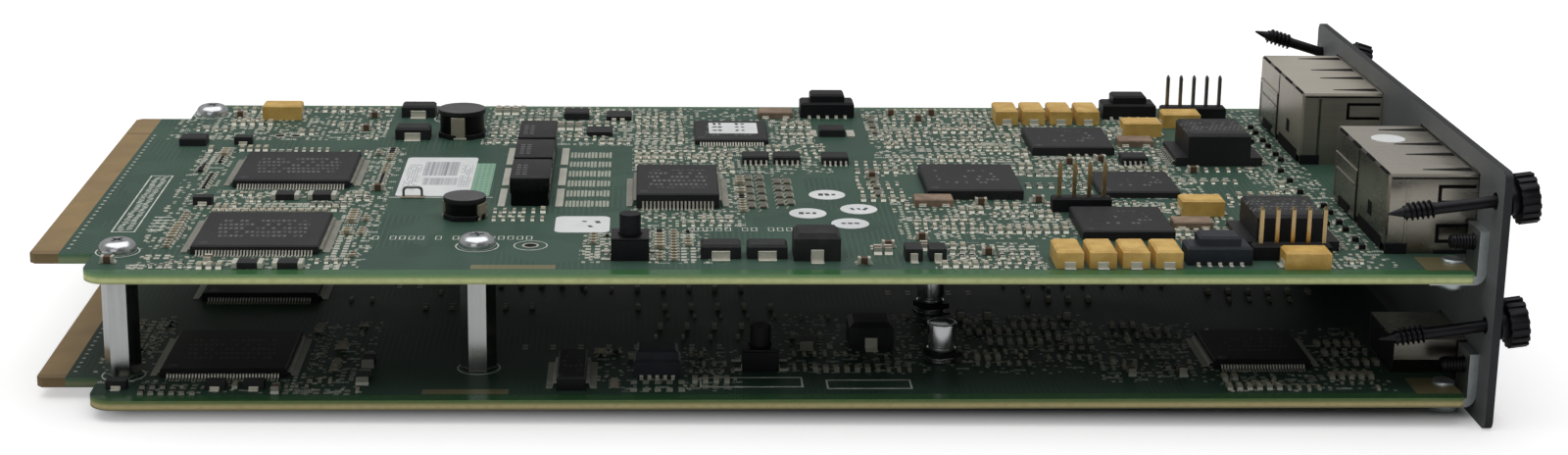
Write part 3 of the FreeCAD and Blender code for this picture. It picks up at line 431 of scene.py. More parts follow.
def chipCase(node, rows, share):  # moulded case with rows of worn laser dashes
    low, high = boxOf(node)
    middle = (low + high) / 2
    wide, deep = high.x - low.x, high.y - low.y
    # painted shade: chips on the lower board get darker tones
    tint = chipTones["lowerShare"] if node.startswith("lower_") else 1.0
    case, dust, laser = [shaded(chipTones[key], tint) for key in ("case", "dust", "mark")]

    def paint(pen, place, facing):
        x, y, z = place.axesInMm()
        u = (x - middle.x) / wide
        v = (y - middle.y) / deep
        top = facing.axes()[2].over(0.7)
        row = ((v + 0.5) * rows).floor()
        line = ((v + 0.5) * rows).wrap(1.0).within(0.25, 0.72)
        along = u * wide / 0.85 + row * 0.37
        dash = along.wrap(1.0).within(0.16, 0.80)
        field = u.size().under(0.36) * v.size().under(0.30)
        mark = line * dash * pen.chance(along.floor(), row).over(1.0 - share) * field * top
        dot = (u + 0.41) * (u + 0.41) * (wide * wide) + (v + 0.41) * (v + 0.41) * (deep * deep)
        dimple = dot.under(0.55) * top
        worn = place.grain(900, 3)
        grit = place.grain(3600, 2)
        cloud = place.grain(120, 4)
        tone = pen.mix(cloud.ease(0.35, 0.75) * 0.6, case, dust)
        tone = pen.mix(mark * worn.ease(0.25, 0.6) * 0.75, tone, laser)
        rough = 0.50 + (grit - 0.5) * 0.3 - dimple * 0.2
        return {"Base Color": tone, "Roughness": rough, "Normal": (grit * 0.5 - dimple).relief(0.04)}
    return paint


labelPrint = {  # two corners and depth of tone, y from the near edge
    "bars": [(-172.8, 59.7, -166.7, 69.4, 0.95), (-172.4, 53.3, -166.4, 58.1, 0.62)],
    "rows": [(-175.6, 49.5, -173.3, 68.0), (-166.1, 52.0, -164.2, 67.0)],
    "ink": (0.20, 0.21, 0.24),
}


def paperFinish(printed):
    def paint(pen, place, facing):
        x, y, z = place.axesInMm()
        y = y - nearEdge
        pulp = place.grain(1800, 4)
        cloud = place.grain(150, 3)
        tone = pen.mix(cloud.ease(0.3, 0.7), (0.70, 0.72, 0.72), (0.80, 0.81, 0.81))
        for x0, y0, x1, y1, depth in printed["bars"] if printed else []:
            chance = pen.chance((x * 4.5).floor(), y0)
            field = x.within(x0, x1) * y.within(y0, y1)
            tone = pen.mix(field * (0.35 + chance * 0.65) * depth, tone, printed["ink"])
        for x0, y0, x1, y1 in printed["rows"] if printed else []:
            across, along = x * 2.2, y * 0.8
            chance = pen.chance(across.floor(), along.floor())
            dashes = across.wrap(1.0).over(0.45) * along.wrap(1.0).over(0.25) * chance.over(0.25)
            tone = pen.mix(x.within(x0, x1) * y.within(y0, y1) * dashes * 0.6, tone, printed["ink"])
        return {"Base Color": tone, "Roughness": 0.55 + pulp * 0.15, "Normal": pulp.relief(0.01)}
    return paint


def filmFinish(pen, place, facing):
    x, y, z = place.axesInMm()
    cloud = place.grain(220, 3)
    rules = (x * 1.15).wrap(1.0).under(0.22).most((y * 0.55).wrap(1.0).under(0.20))
    tone = pen.mix(cloud.ease(0.3, 0.7), (0.150, 0.310, 0.205), (0.190, 0.370, 0.250))
    tone = pen.mix(rules * 0.65, tone, (0.330, 0.520, 0.400))
    return {"Base Color": tone, "Roughness": 0.40 + cloud * 0.15}


drawnSheet = {"stretch": (0.08, 1.0, 1.0), "depth": 0.0012}
metals = {  # material, tone, roughness and what differs from plain metal
    "zinc": ("zincPlate", (0.66, 0.68, 0.69), 0.24, {"depth": 0.001}),
    "post": ("turnedZinc", (0.50, 0.52, 0.51), 0.20, {"stretch": (1.0, 1.0, 0.05), "depth": 0.0008}),
    "paleZinc": ("paleZincSheet", (0.56, 0.61, 0.62), 0.40, {}),
    "black": ("blackenedSteel", (0.030, 0.030, 0.033), 0.44, {"depth": 0.015}),
    # nickel: its upward faces are lightened as painted light, its folded edges and lower part darkened as
    # painted shade
    "nickel": ("nickelSheet", (0.39, 0.364, 0.312), 0.29, {**drawnSheet, "topShare": 1.76}),
    # a lighter copy of the nickel for the far jack: painted light
    "farNickel": ("farNickelSheet", (0.54, 0.495, 0.415), 0.32,
                  {**drawnSheet, "metallic": 0.7, "topShare": 1.3}),
    "tin": ("tinnedLead", (0.56, 0.55, 0.48), 0.38, {"metallic": 0.5}),
    "solder": ("solderFillet", (0.64, 0.63, 0.54), 0.38, {"metallic": 0.35}),
    # a darker copy of the solder for the lower board: painted shade
    "dimSolder": ("dimSolder", (0.30, 0.30, 0.25), 0.40, {"metallic": 0.3}),
    "dullPad": ("dullPad", (0.42, 0.44, 0.36), 0.45, {"metallic": 0.2}),
    "gilt": ("giltPin", (0.60, 0.44, 0.22), 0.30, {}),
    "greyPin": ("greyPin", (0.26, 0.25, 0.24), 0.36, {}),
    "can": ("canMetal", (0.70, 0.71, 0.72), 0.22, {"stretch": (1.0, 1.0, 0.1)}),
    "clip": ("terminalClip", (0.42, 0.37, 0.28), 0.40, {"metallic": 0.5}),
}
mouldings = {  # material, tone, roughness, specular and what differs from plain moulding
    "moulding": ("blackMoulding", (0.011, 0.011, 0.013), 0.46, 0.15, {}),
    "blueMoulding": ("slateMoulding", (0.020, 0.024, 0.031), 0.42, 0.18, {}),
    "case": ("smallCase", (0.022, 0.022, 0.024), 0.50, 0.16, {}),
    "ferrite": ("ferriteCore", (0.020, 0.020, 0.021), 0.50, 0.15, {"depth": 0.03, "fleck": 2.2}),
    "winding": ("enamelWinding", (0.007, 0.007, 0.008), 0.36, 0.15, {"depth": 0.05}),
    "coreTop": ("ferriteTop", (0.070, 0.070, 0.072), 0.55, None, {"depth": 0.03, "fleck": 1.5}),
    "hole": ("holeShade", (0.006, 0.006, 0.006), 0.7, 0.1, {}),
    # the jack inserts are darker than the other mouldings: painted shade in the ports and slits
    "insert": ("jackInsert", (0.006, 0.006, 0.007), 0.62, 0.1, {}),
    "gloss": ("glossMoulding", (0.006, 0.006, 0.007), 0.28, 0.15, {"depth": 0.006}),
}
ceramics = {
    "packBody": ("packBody", (0.130, 0.124, 0.092)),
    "ceramic": ("ceramicCap", (0.270, 0.185, 0.125)),
    "tan": ("tanCapacitor", (0.375, 0.315, 0.210)),
    "brown": ("brownCapacitor", (0.110, 0.060, 0.032)),
    "ink": ("boardInk", (0.66, 0.68, 0.62)),
    "markInk": ("mouldedMark", (0.13, 0.13, 0.13)),
    "labelInk": ("labelInk", (0.06, 0.06, 0.065)),
}
looks = {
    "panel": finishOf("panelPaint", panelPaint, 0.3),
    "upperBoard": finishOf("upperBoardMask", boardMask("upper"), 0.22),
    "lowerBoard": finishOf("lowerBoardMask", boardMask("lower"), 0.22),
    "ochre": finishOf("ochreMoulding", ochreMoulding),
    "paper": finishOf("paperLabel", paperFinish(None)),
    "barLabel": finishOf("barLabel", paperFinish(labelPrint)),
    "greenFilm": finishOf("greenFilm", filmFinish),
}
for key, (name, tone, rough, more) in metals.items():
    looks[key] = finishOf(name, metalFinish(tone, rough, **more))
for key, (name, tone, rough, specular, more) in mouldings.items():
    looks[key] = finishOf(name, mouldedFinish(tone, rough, **more), specular)
for key, (name, tone) in ceramics.items():
    looks[key] = finishOf(name, ceramicFinish(tone))

chipMarks = {
    "near_video_chip": (9, 0.72), "far_video_chip": (9, 0.72), "network_chip": (8, 0.80),
    "memory_chip": (7, 0.5), "processor_chip": (9, 0.25), "near_driver_chip": (8, 0.2),
    "far_driver_chip": (8, 0.2), "middle_chip": (8, 0.2), "lower_near_chip": (9, 0.7),
    "lower_far_chip": (9, 0.7), "lower_output_chip": (8, 0.6), "lower_wide_chip": (6, 0.5),
    "near_transformer": (8, 0.8), "far_transformer": (8, 0.8),
}
nodeLooks = {
    "front_panel": "panel", "upper_board": "upperBoard", "lower_board": "lowerBoard",
    "transistors": "case", "ferrite_beads": "case", "coil_blocks": "case", "small_chips": "case",
    "power_diodes": "case", "moulded_chokes": "ferrite",
    "moulded_capacitors": "ochre", "oscillators": "ceramic", "bracket_screws": "black",
    "header_pins": "gilt", "can_capacitors": "can", "drum_coils": "ferrite",
    "near_link_socket": "blueMoulding", "lower_link_socket": "blueMoulding", "far_jack_shield": "farNickel",
}
nodeKinds = {
    "_post": "post", "post_top_screws": "zinc", "post_bottom_screws": "zinc", "_bracket": "paleZinc",
    "_thumbscrew": "black", "_shield": "nickel", "_insert": "insert", "_shell": "nickel",
    "_tongue": "moulding", "_transformer": "moulding", "_link_socket": "moulding",
    "_switch_body": "moulding", "_switch_plunger": "moulding", "header_bases": "moulding",
}
for name, node in nodes.items():
    if name in chipMarks:
        look = finishOf(name + "Case", chipCase(name, *chipMarks[name]), 0.22)
    elif name in nodeLooks:
        look = looks[nodeLooks[name]]
    else:
        look = looks[next(kind for end, kind in nodeKinds.items() if name.endswith(end))]
    node.data.materials.clear()
    node.data.materials.append(look)
print("finishes:", len(bpy.data.materials))


# modelling by operators, sizes in mm
def alone(piece=None):
    if bpy.context.object and bpy.context.object.mode != "OBJECT":
        bpy.ops.object.mode_set(mode="OBJECT")
    bpy.ops.object.select_all(action="DESELECT")
    if piece:
        piece.select_set(True)
        bpy.context.view_layer.objects.active = piece


def named(name):
    bpy.ops.object.transform_apply(location=True, rotation=True, scale=True)
    piece = bpy.context.object
    piece.name = name
    piece.data.name = name
    return piece


def startBlock(name, low, high):
    alone()
    low, high = Vector(low) * mm, Vector(high) * mm
    bpy.ops.mesh.primitive_cube_add(size=1, location=(low + high) / 2, scale=high - low)
    return named(name)


def startRound(name, radius, low, high, sides):
    alone()
    middle = (0, 0, (low + high) / 2 * mm)
    bpy.ops.mesh.primitive_cylinder_add(
        vertices=sides, radius=radius * mm, depth=(high - low) * mm, location=middle)
    return named(name)


def startDisc(name, radius, sides):
    alone()
    bpy.ops.mesh.primitive_circle_add(vertices=sides, radius=radius * mm, fill_type="NGON")
    return named(name)


def startSheet(name, low, high):
    alone()
    low, high = Vector((*low, 0)) * mm, Vector((*high, 0)) * mm
    bpy.ops.mesh.primitive_plane_add(size=1, location=(low + high) / 2)
    bpy.context.object.scale = (high.x - low.x, high.y - low.y, 1)
    return named(name)


def pick(piece, kind, test):
    alone(piece)
    bpy.ops.object.mode_set(mode="EDIT")
    bpy.ops.mesh.select_mode(type=kind)
    bpy.ops.mesh.select_all(action="DESELECT")
    bpy.ops.object.mode_set(mode="OBJECT")
    if kind == "FACE":
        for face in piece.data.polygons:
            face.select = test(face.center / mm, face.normal)
    else:
        ends = piece.data.vertices
        for edge in piece.data.edges:
            edge.select = test(*[ends[i].co / mm for i in edge.vertices])
    bpy.ops.object.mode_set(mode="EDIT")


def leave():
    bpy.ops.object.mode_set(mode="OBJECT")


def extrude(x=0.0, y=0.0, z=0.0):
    bpy.ops.mesh.extrude_region_move(TRANSFORM_OT_translate={"value": (x * mm, y * mm, z * mm)})


def nudge(x=0.0, y=0.0, z=0.0):
    bpy.ops.transform.translate(value=(x * mm, y * mm, z * mm))


def resize(x, y, z, about=(0, 0, 0)):
    bpy.ops.transform.resize(value=(x, y, z), center_override=Vector(about) * mm)


def inset(width, depth=0.0):
    bpy.ops.mesh.inset(thickness=width * mm, depth=depth * mm)


def everything():
    bpy.ops.mesh.select_all(action="SELECT")


def pickAll(piece):
    pick(piece, "FACE", lambda c, n: True)


def pickTop(piece):
    pick(piece, "FACE", lambda c, n: n.z > 0.9)


def pickFoot(piece):
    pick(piece, "FACE", lambda c, n: n.z < -0.9)


def enter(piece):  # edit mode with all of it selected
    alone(piece)
    bpy.ops.object.mode_set(mode="EDIT")
    everything()


def blunt(piece, width, depth=0.0):  # a step in the foot of a turned piece
    pickFoot(piece)
    inset(width, depth)
    leave()


def roundTop(piece, top, reach, segments):  # rounds the rim of a turned head
    pick(piece, "EDGE", lambda a, b: min(a.z, b.z) > top - 0.01 and max(a.xy.length, b.xy.length) > 1)
    bpy.ops.mesh.bevel(offset=reach * mm, segments=segments, affect="EDGES", profile=0.5, clamp_overlap=False)
    leave()


def thicken(piece, rise):  # a flat sheet becomes a plate
    pickAll(piece)
    extrude(z=rise)
    everything()
    bpy.ops.mesh.normals_make_consistent(inside=False)
    leave()


def modify(piece, kind, **settings):
    step = piece.modifiers.new(kind.title(), kind)
    for key, value in settings.items():
        setattr(step, key, value)
    alone(piece)
    bpy.ops.object.modifier_apply(modifier=step.name)


def soften(piece, width, segments=2, angle=40):
    modify(piece, "BEVEL", width=width * mm, segments=segments, limit_method="ANGLE",
           angle_limit=math.radians(angle))


def smooth(piece, angle=35):
    alone(piece)
    bpy.ops.object.shade_smooth_by_angle(angle=math.radians(angle))


def repeat(piece, count, y=0.0, z=0.0):
    modify(piece, "ARRAY", count=count, use_relative_offset=False, use_constant_offset=True,
           constant_offset_displace=(0, y * mm, z * mm))


def carve(piece, cutter):
    modify(piece, "BOOLEAN", object=cutter, operation="DIFFERENCE", solver="EXACT")
    bpy.data.objects.remove(cutter)


def crossRecess(head, top, length, width, depth, turn):
    for angle in (turn, turn + 90):
        arm = startBlock("arm", (-length / 2, -width / 2, top - depth), (length / 2, width / 2, top + 1))
        swing(arm, angle)
        carve(head, arm)


def shift(piece, x=0.0, y=0.0, z=0.0):
    piece.data.transform(Matrix.Translation(Vector((x, y, z)) * mm))


def swing(piece, angle, axis="Z"):
    piece.data.transform(Matrix.Rotation(math.radians(angle), 4, axis))


def wear(piece, *kinds, choose=None):  # the finishes of a piece, chosen face by face
    piece.data.materials.clear()
    for kind in kinds:
        piece.data.materials.append(looks[kind])
    for face in piece.data.polygons:
        face.material_index = choose(face.center / mm, face.normal) if choose else 0


def copyOf(model, spot, turn=0.0, stretch=(1.0, 1.0, 1.0)):
    copy = model.copy()
    copy.data = model.data.copy()
    sized = Matrix.Diagonal((*stretch, 1.0))
    turned = Matrix.Rotation(math.radians(turn), 4, "Z")
    copy.data.transform(Matrix.Translation(Vector(spot) * mm) @ turned @ sized)
    bpy.context.collection.objects.link(copy)
    return copy


def discard(*models):
    for model in models:
        bpy.data.objects.remove(model)


def gather(name, parts):
    alone()
    for part in parts:
        part.select_set(True)
    bpy.context.view_layer.objects.active = parts[0]
    if len(parts) > 1:
        bpy.ops.object.join()
    parts[0].name = name
    parts[0].data.name = name
    return parts[0]


def pieceName(node, ending):
    return node.title().replace("_", "") + ending


def settle(piece, body="card", stands=()):
    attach(piece, body)
    if stands:
        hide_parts(*stands)
    return piece


def dressSolids(node, name, build, turn=0.0):  # one model on the foot of each solid in a node
    copies = []
    for low, high in solidBoxes(node):
        model = build(low, high)
        copies.append(copyOf(model, ((low.x + high.x) / 2, (low.y + high.y) / 2, low.z), turn))
        discard(model)
    settle(gather(name, copies), stands=[node])


# captive thumbscrews, modelled along Z from the panel's middle plane
thumb = {
    "shank": 0.95, "shankEnd": -10.25, "collar": 2.5, "collarFrom": 1.35, "knobFrom": 2.55,
    "knobTo": 5.45, "knob": 4.06, "ribs": 16, "ribDepth": 0.36, "root": 1.0, "crest": 1.475,
    "pitch": 0.8, "threadEnd": -15.25, "tip": -17.75, "tipShare": 0.16, "slit": (4.8, 0.7, 1.1),
    "ridge": ((0.22, "root"), (0.46, "crest"), (0.62, "crest"), (0.86, "root")),  # share of the pitch
    "draws": {"far_upper_screw": 2.9},
}


def thumbscrew():
    t = thumb
    sides = t["ribs"] * 4
    knob = startRound("thumbKnob", t["knob"] - t["ribDepth"], t["knobFrom"], t["knobTo"], sides)

    def isRib(c, n):
        turn = math.atan2(c.y, c.x) / math.tau * sides
        return abs(n.z) < 0.3 and math.floor(turn + 0.01) % 4 < 2

    pick(knob, "FACE", isRib)
    bpy.ops.mesh.extrude_region_shrink_fatten(TRANSFORM_OT_shrink_fatten={"value": t["ribDepth"] * mm})
    leave()
    pick(knob, "FACE", lambda c, n: n.z > 0.9 and c.z > t["knobTo"] - 0.01 and c.xy.length < 1.0)
    inset(0.8)
    inset(0.15, -0.25)
    inset(0.9)
    inset(0.12, -0.35)
    leave()
    long, wide, deep = t["slit"]
    slit = startBlock("slit", (-long / 2, -wide / 2, t["knobTo"] - deep),
                      (long / 2, wide / 2, t["knobTo"] + 1))
    carve(knob, slit)
    soften(knob, 0.09, 2, 50)
    collar = startRound("thumbCollar", t["collar"], t["collarFrom"], t["knobFrom"] + 0.1, 48)
    blunt(collar, 0.5, 0.05)
    soften(collar, 0.16, 3)
    shank = startRound("thumbShank", t["shank"], t["shankEnd"] - 0.2, t["collarFrom"] + 0.2, 32)
    blunt(shank, 0.1)
    thread = startDisc("thumbThread", t["root"], 3)
    thread.data.clear_geometry()
    turns = round((t["shankEnd"] - t["threadEnd"]) / t["pitch"])
    pitch = (t["shankEnd"] - t["threadEnd"]) / turns
    ridge = [(0.0, "root"), *t["ridge"], (1.0, "root")]
    profile = [(t[kind] * mm, 0, (t["threadEnd"] + share * pitch) * mm) for share, kind in ridge]
    thread.data.from_pydata(profile, [(i, i + 1) for i in range(len(profile) - 1)], [])
    modify(thread, "SCREW", axis="Z", screw_offset=pitch * mm, iterations=turns - 1, steps=28,
           render_steps=28, use_merge_vertices=True, merge_threshold=1e-6)
    nose = startRound("thumbNose", t["root"] + 0.02, t["tip"], t["threadEnd"] + pitch, 28)
    pickFoot(nose)
    resize(t["tipShare"], t["tipShare"], 1.0, (0, 0, t["tip"]))
    leave()
    modify(nose, "SUBSURF", subdivision_type="SIMPLE", levels=1, render_levels=1)
    core = startRound("thumbCore", t["root"] + 0.03, t["threadEnd"], t["shankEnd"], 28)
    pick(core, "FACE", lambda c, n: abs(n.z) > 0.9)
    inset(0.05)
    leave()
    parts = [knob, collar, shank, thread, nose, core]
    for part in parts:
        wear(part, "black")
        enter(part)
        bpy.ops.mesh.normals_make_consistent(inside=False)
        leave()
    whole = gather("thumbscrew", parts)
    smooth(whole, 40)
    return whole


screwModel = thumbscrew()
for joint in frame["joints"]:
    if joint["type"] != "hinge":
        continue
    body = joint["child"]
    axis = Vector(joint["axis"])
    pivot = Vector(joint["pos_m"]) + axis * thumb["draws"].get(body, 0.0) * mm
    place = Matrix.Translation(pivot) @ Vector((0, 0, 1)).rotation_difference(axis).to_matrix().to_4x4()
    piece = screwModel.copy()
    piece.data = screwModel.data.copy()
    piece.data.transform(place)
    bpy.context.collection.objects.link(piece)
    piece.name = pieceName(body, "Detail")
    settle(piece, body, [body.replace("_screw", "_thumbscrew")])
discard(screwModel)
print("thumbscrews done")


# pan-head screws of the posts
postScrew = {"head": 3.0, "height": 2.0, "round": 1.5, "shank": 1.25, "shankEnd": -5.0,
             "cross": (2.3, 0.55, 0.55, 20)}  # length, width, depth and turn


def panHead():
    s = postScrew
    head = startRound("panHead", s["head"], 0.0, s["height"], 40)
    roundTop(head, s["height"], s["round"], 7)
    crossRecess(head, s["height"], *s["cross"])
    shank = startRound("panShank", s["shank"], s["shankEnd"], 0.2, 20)
    blunt(shank, 0.2, 0.2)
    whole = gather("panScrew", [head, shank])
    wear(whole, "zinc")
    smooth(whole, 40)
    return whole


headModel = panHead()
for node, upward in (("post_top_screws", 1), ("post_bottom_screws", -1)):
    copies = []
    for low, high in solidBoxes(node):
        middle = (low + high) / 2
        seat = high.z - postScrew["height"] if upward > 0 else low.z + postScrew["height"]
        copy = copyOf(headModel, (0, 0, 0), dice.uniform(0, 90))
        if upward < 0:
            swing(copy, 180, "X")
        shift(copy, middle.x, middle.y, seat)
        copies.append(copy)
    settle(gather(pieceName(node, "Detail"), copies), stands=[node])
discard(headModel)

# panel screws with threaded ends, and rivets through the bracket feet
panelScrew = {"head": 2.6, "headHeight": 1.5, "round": 1.1, "shank": 1.4, "root": 1.15, "crest": 1.12,
              "pitch": 0.5, "lead": 0.3, "turns": 9, "cross": (2.7, 0.66, 0.8, 10)}


def panelScrews():
    s = panelScrew
    low, high = solidBoxes("bracket_screws")[0]
    inner, outer = low.x, high.x
    head = startRound("screwHead", s["head"], outer - s["headHeight"], outer, 36)
    roundTop(head, outer, s["round"], 5)
    crossRecess(head, outer, *s["cross"])
    shank = startRound("screwShank", s["root"], inner, outer - s["headHeight"] + 0.1, 24)
    blunt(shank, 0.25, 0.25)
    foot = inner + s["lead"]
    ridge = startRound("screwRidge", s["shank"], foot, foot + s["pitch"], 24)
    for end in (-1, 1):
        pick(ridge, "FACE", lambda c, n: n.z * end > 0.9)
        resize(s["root"] / s["shank"], s["root"] / s["shank"], 1.0)
        leave()
    modify(ridge, "SUBSURF", subdivision_type="SIMPLE", levels=1, render_levels=1)
    belt = foot + s["pitch"] / 2
    pick(ridge, "EDGE", lambda a, b: abs(a.z - belt) < 0.01 and abs(b.z - belt) < 0.01)
    resize(s["crest"], s["crest"], 1.0)
    leave()
    repeat(ridge, s["turns"], z=s["pitch"])
    whole = gather("panelScrew", [head, shank, ridge])
    swing(whole, 90, "Y")
    wear(whole, "black")
    smooth(whole, 40)
    return whole


screw = panelScrews()
copies = []
for low, high in solidBoxes("bracket_screws"):
    copies.append(copyOf(screw, (0, (low.y + high.y) / 2, (low.z + high.z) / 2)))
discard(screw)
settle(gather("panelScrewDetail", copies), stands=["bracket_screws"])

rivet = {"radius": 1.9, "rise": 0.55, "fromPanel": -4.6, "underRadius": 2.8, "underRise": 1.35}


def rivetDome():
    dome = startRound("rivetDome", rivet["radius"], 0.0, rivet["rise"], 28)
    roundTop(dome, rivet["rise"], 0.5, 4)
    pick(dome, "FACE", lambda c, n: n.z > 0.95 and c.xy.length < 0.4)
    inset(0.7, -0.3)
    leave()
    wear(dome, "paleZinc")
    smooth(dome, 40)
    return dome


dome = rivetDome()
copies = []
wide, tall = rivet["underRadius"] / rivet["radius"], rivet["underRise"] / rivet["rise"]
for tier in tiers:
    for side in ("near", "far"):
        low, high = boxOf(f"{tier}_{side}_bracket")
        middle = (low.y + high.y) / 2
        copies.append(copyOf(dome, (rivet["fromPanel"], middle, tiers[tier])))
        under = copyOf(dome, (0, 0, 0), 0, (wide, wide, tall))
        swing(under, 180, "X")
        shift(under, rivet["fromPanel"], middle, low.z)
        copies.append(under)
discard(dome)
settle(gather("bracketRivets", copies))
print("screws and rivets done")


# chip leads: one gull wing, arrayed along each side
lead = {"thick": 0.16, "reach": 0.46, "drop": 0.252, "foot": 1.0, "transformerHeight": 1.6}


def gullWing(width, height):
    mid = height * 0.5
    wing = startBlock("gullWing", (-0.15, -width / 2, mid - lead["thick"]), (lead["reach"], width / 2, mid))
    pick(wing, "FACE", lambda c, n: n.x > 0.9)
    extrude(x=lead["drop"], z=-(mid - lead["thick"] - 0.06))
    extrude(x=lead["foot"], z=-0.04)
    leave()
    wear(wing, "tin")
    return wing


def leadRows(low, high, pitch, width, sides, margin=1.0):
    rows = []
    middle = (low + high) / 2
    spot = {"E": (high.x, middle.y), "N": (middle.x, high.y), "W": (low.x, middle.y), "S": (middle.x, low.y)}
    for side, turn, along in (("E", 0, "y"), ("N", 90, "x"), ("W", 180, "y"), ("S", 270, "x")):
        if side not in sides:
            continue
        first, last = getattr(low, along), getattr(high, along)
        count = int((last - first - 2 * margin) / pitch + 1e-6) + 1
        wing = gullWing(width, high.z - low.z)
        shift(wing, y=-(count - 1) * pitch / 2)
        repeat(wing, count, y=pitch)
        rows.append(copyOf(wing, (*spot[side], low.z), turn))
        discard(wing)
    return rows


chipLeads = {
    "near_video_chip": (0.5, 0.24, "ENWS"), "far_video_chip": (0.5, 0.24, "ENWS"),
    "network_chip": (0.65, 0.32, "ENWS"), "memory_chip": (0.5, 0.24, "NS"),
    "lower_near_chip": (0.5, 0.24, "ENWS"), "lower_far_chip": (0.5, 0.24, "ENWS"),
    "lower_output_chip": (0.5, 0.24, "ENWS"), "lower_wide_chip": (1.0, 0.42, "EW"),
    "near_transformer": (1.27, 0.5, "EW"), "far_transformer": (1.27, 0.5, "EW"),
}
rows = []
for node, (pitch, width, sides) in chipLeads.items():
    low, high = boxOf(node)
    if node.endswith("transformer"):
        high.z = low.z + lead["transformerHeight"]
    rows += leadRows(low, high, pitch, width, sides)
for low, high in solidBoxes("small_chips"):
    if low.x < -205 or low.y - nearEdge > 85 and low.x < -95:  # leadless ones
        continue
    sides = "EW" if high.y - low.y > high.x - low.x + 1 else "NS"
    long = max(high.x - low.x, high.y - low.y)
    rows += leadRows(low, high, 1.27 if long < 4 else 0.95, 0.36, sides, 0.45)
settle(gather("chipLeads", rows))
print("chip leads done")


# solder-ended small parts
smallKinds = {
    "tanChip": ((1.6, 0.85, 0.80), 0.36, "tan"),
    "darkChip": ((1.6, 0.85, 0.50), 0.34, "case"),
    "tinyTan": ((1.1, 0.58, 0.55), 0.28, "tan"),
    "tinyDark": ((1.1, 0.58, 0.40), 0.28, "case"),
    "brownChip": ((2.0, 1.25, 1.15), 0.45, "brown"),
    "ferriteBead": ((4.2, 2.0, 1.2), 0.65, "case"),
    "blackChoke": ((3.4, 2.2, 1.5), 0.30, "moulding"),
    "blackBit": ((1.35, 1.10, 0.75), 0.10, "moulding"),
}


def smallPart(name, size, end, body):
    length, width, height = size
    half = length / 2
    part = startBlock(name, (-half, -width / 2, 0.05), (half, width / 2, height))
    for side in (-1, 1):
        enter(part)
        bpy.ops.mesh.bisect(plane_co=(side * (half - end) * mm, 0, 0), plane_no=(1, 0, 0))
        leave()
    pick(part, "FACE", lambda c, n: abs(c.x) < half - end)
    resize(1.0, 0.90, 0.93, (0, 0, height * 0.4))
    leave()
    wear(part, "solder", body, choose=lambda c, n: 1 if abs(c.x) < half - end else 0)
    fillets = []
    climb = min(0.5, height * 0.55)
    for side in (-1, 1):
        inner, outer = sorted((side * (half - 0.04), side * (half + 0.36)))
        fillet = startBlock("fillet", (inner, -width * 0.52, 0.0), (outer, width * 0.52, climb))
        pick(fillet, "EDGE", lambda a, b: min(a.z, b.z) > 0.06 and min(a.x * side, b.x * side) > half + 0.3)
        nudge(z=0.05 - climb)
        leave()
        wear(fillet, "solder")
        fillets.append(fillet)
    return gather(name, [part, *fillets])


barePads = {"apart": 0.75, "half": 0.42, "width": 0.9, "rise": 0.05, "span": (1.6, 0.9)}


def padPair():
    pads = []
    for side in (-1, 1):
        middle, half, deep = side * barePads["apart"], barePads["half"], barePads["width"] / 2
        pad = startSheet("pad", (middle - half, -deep), (middle + half, deep))
        thicken(pad, barePads["rise"])
        wear(pad, "solder")
        pads.append(pad)
    return gather("barePads", pads)


models = {name: smallPart(name, *facts) for name, facts in smallKinds.items()}
models["barePads"] = padPair()
spans = {name: facts[0][:2] for name, facts in smallKinds.items()}
spans["barePads"] = barePads["span"]
taken = {"upper": [], "lower": []}  # plan rectangles that are full
placed = {"upper": [], "lower": []}


def keepClear(tier, low, high, gap=0.35):  # plan rectangle, y from the near edge
    taken[tier].append((low[0] - gap, low[1] - gap, high[0] + gap, high[1] + gap))


for name in nodes:
    if name in ("front_panel", "upper_board", "lower_board") or name.endswith("_thumbscrew"):
        continue
    for low, high in solidBoxes(name):
        for tier, level in tiers.items():
            if low.z < level + 1.0 and high.z > level + 0.1:
                gap = 1.9 if name in chipLeads else 0.5
                keepClear(tier, (low.x, low.y - nearEdge), (high.x, high.y - nearEdge), gap)
stickers = {"radius": 3.15, "clear": 3.4,
            "spots": [(-102.3, 47.3), (-106.3, 35.3), (-97.5, 38.0), (-99.6, 29.0)]}
freeRounds = [  # screw heads, the test hole and the stickers: x, y and reach
    (-216.6, 12.5, 3.6), (-160.4, 15.7, 3.6), (-151.9, 16, 3), (-170.6, 103.0, 3.6), (-216.6, 105.8, 3.6),
    *[(x, y, stickers["clear"]) for x, y in stickers["spots"]],
]
freeAreas = [  # labels, print, bare lands, bracket feet and the coil blocks' pads
    ((-177, 45), (-159.5, 76)), ((-149, 22.5), (-139, 34.5)), ((-220.5, 23), (-211, 60.5)),
    ((-161, 2.5), (-147, 5.6)), ((-12, 0), (0, 11.5)), ((-12, 102), (0, 114)),
    ((-159.2, 38), (-147.8, 82)), ((-147.5, 37), (-139.3, 80)),
]
besideTab = [((-245, -5), (-218.4, 13.5)), ((-245, 90), (-218.4, 120)), ((-245, 0), (-222.5, 120))]
for x, y, reach in freeRounds:
    keepClear("upper", (x - reach, y - reach), (x + reach, y + reach), 0)
for low, high in freeAreas:
    keepClear("upper", low, high, 0)
for tier in tiers:  # no board there
    for low, high in besideTab:
        keepClear(tier, low, high, 0)


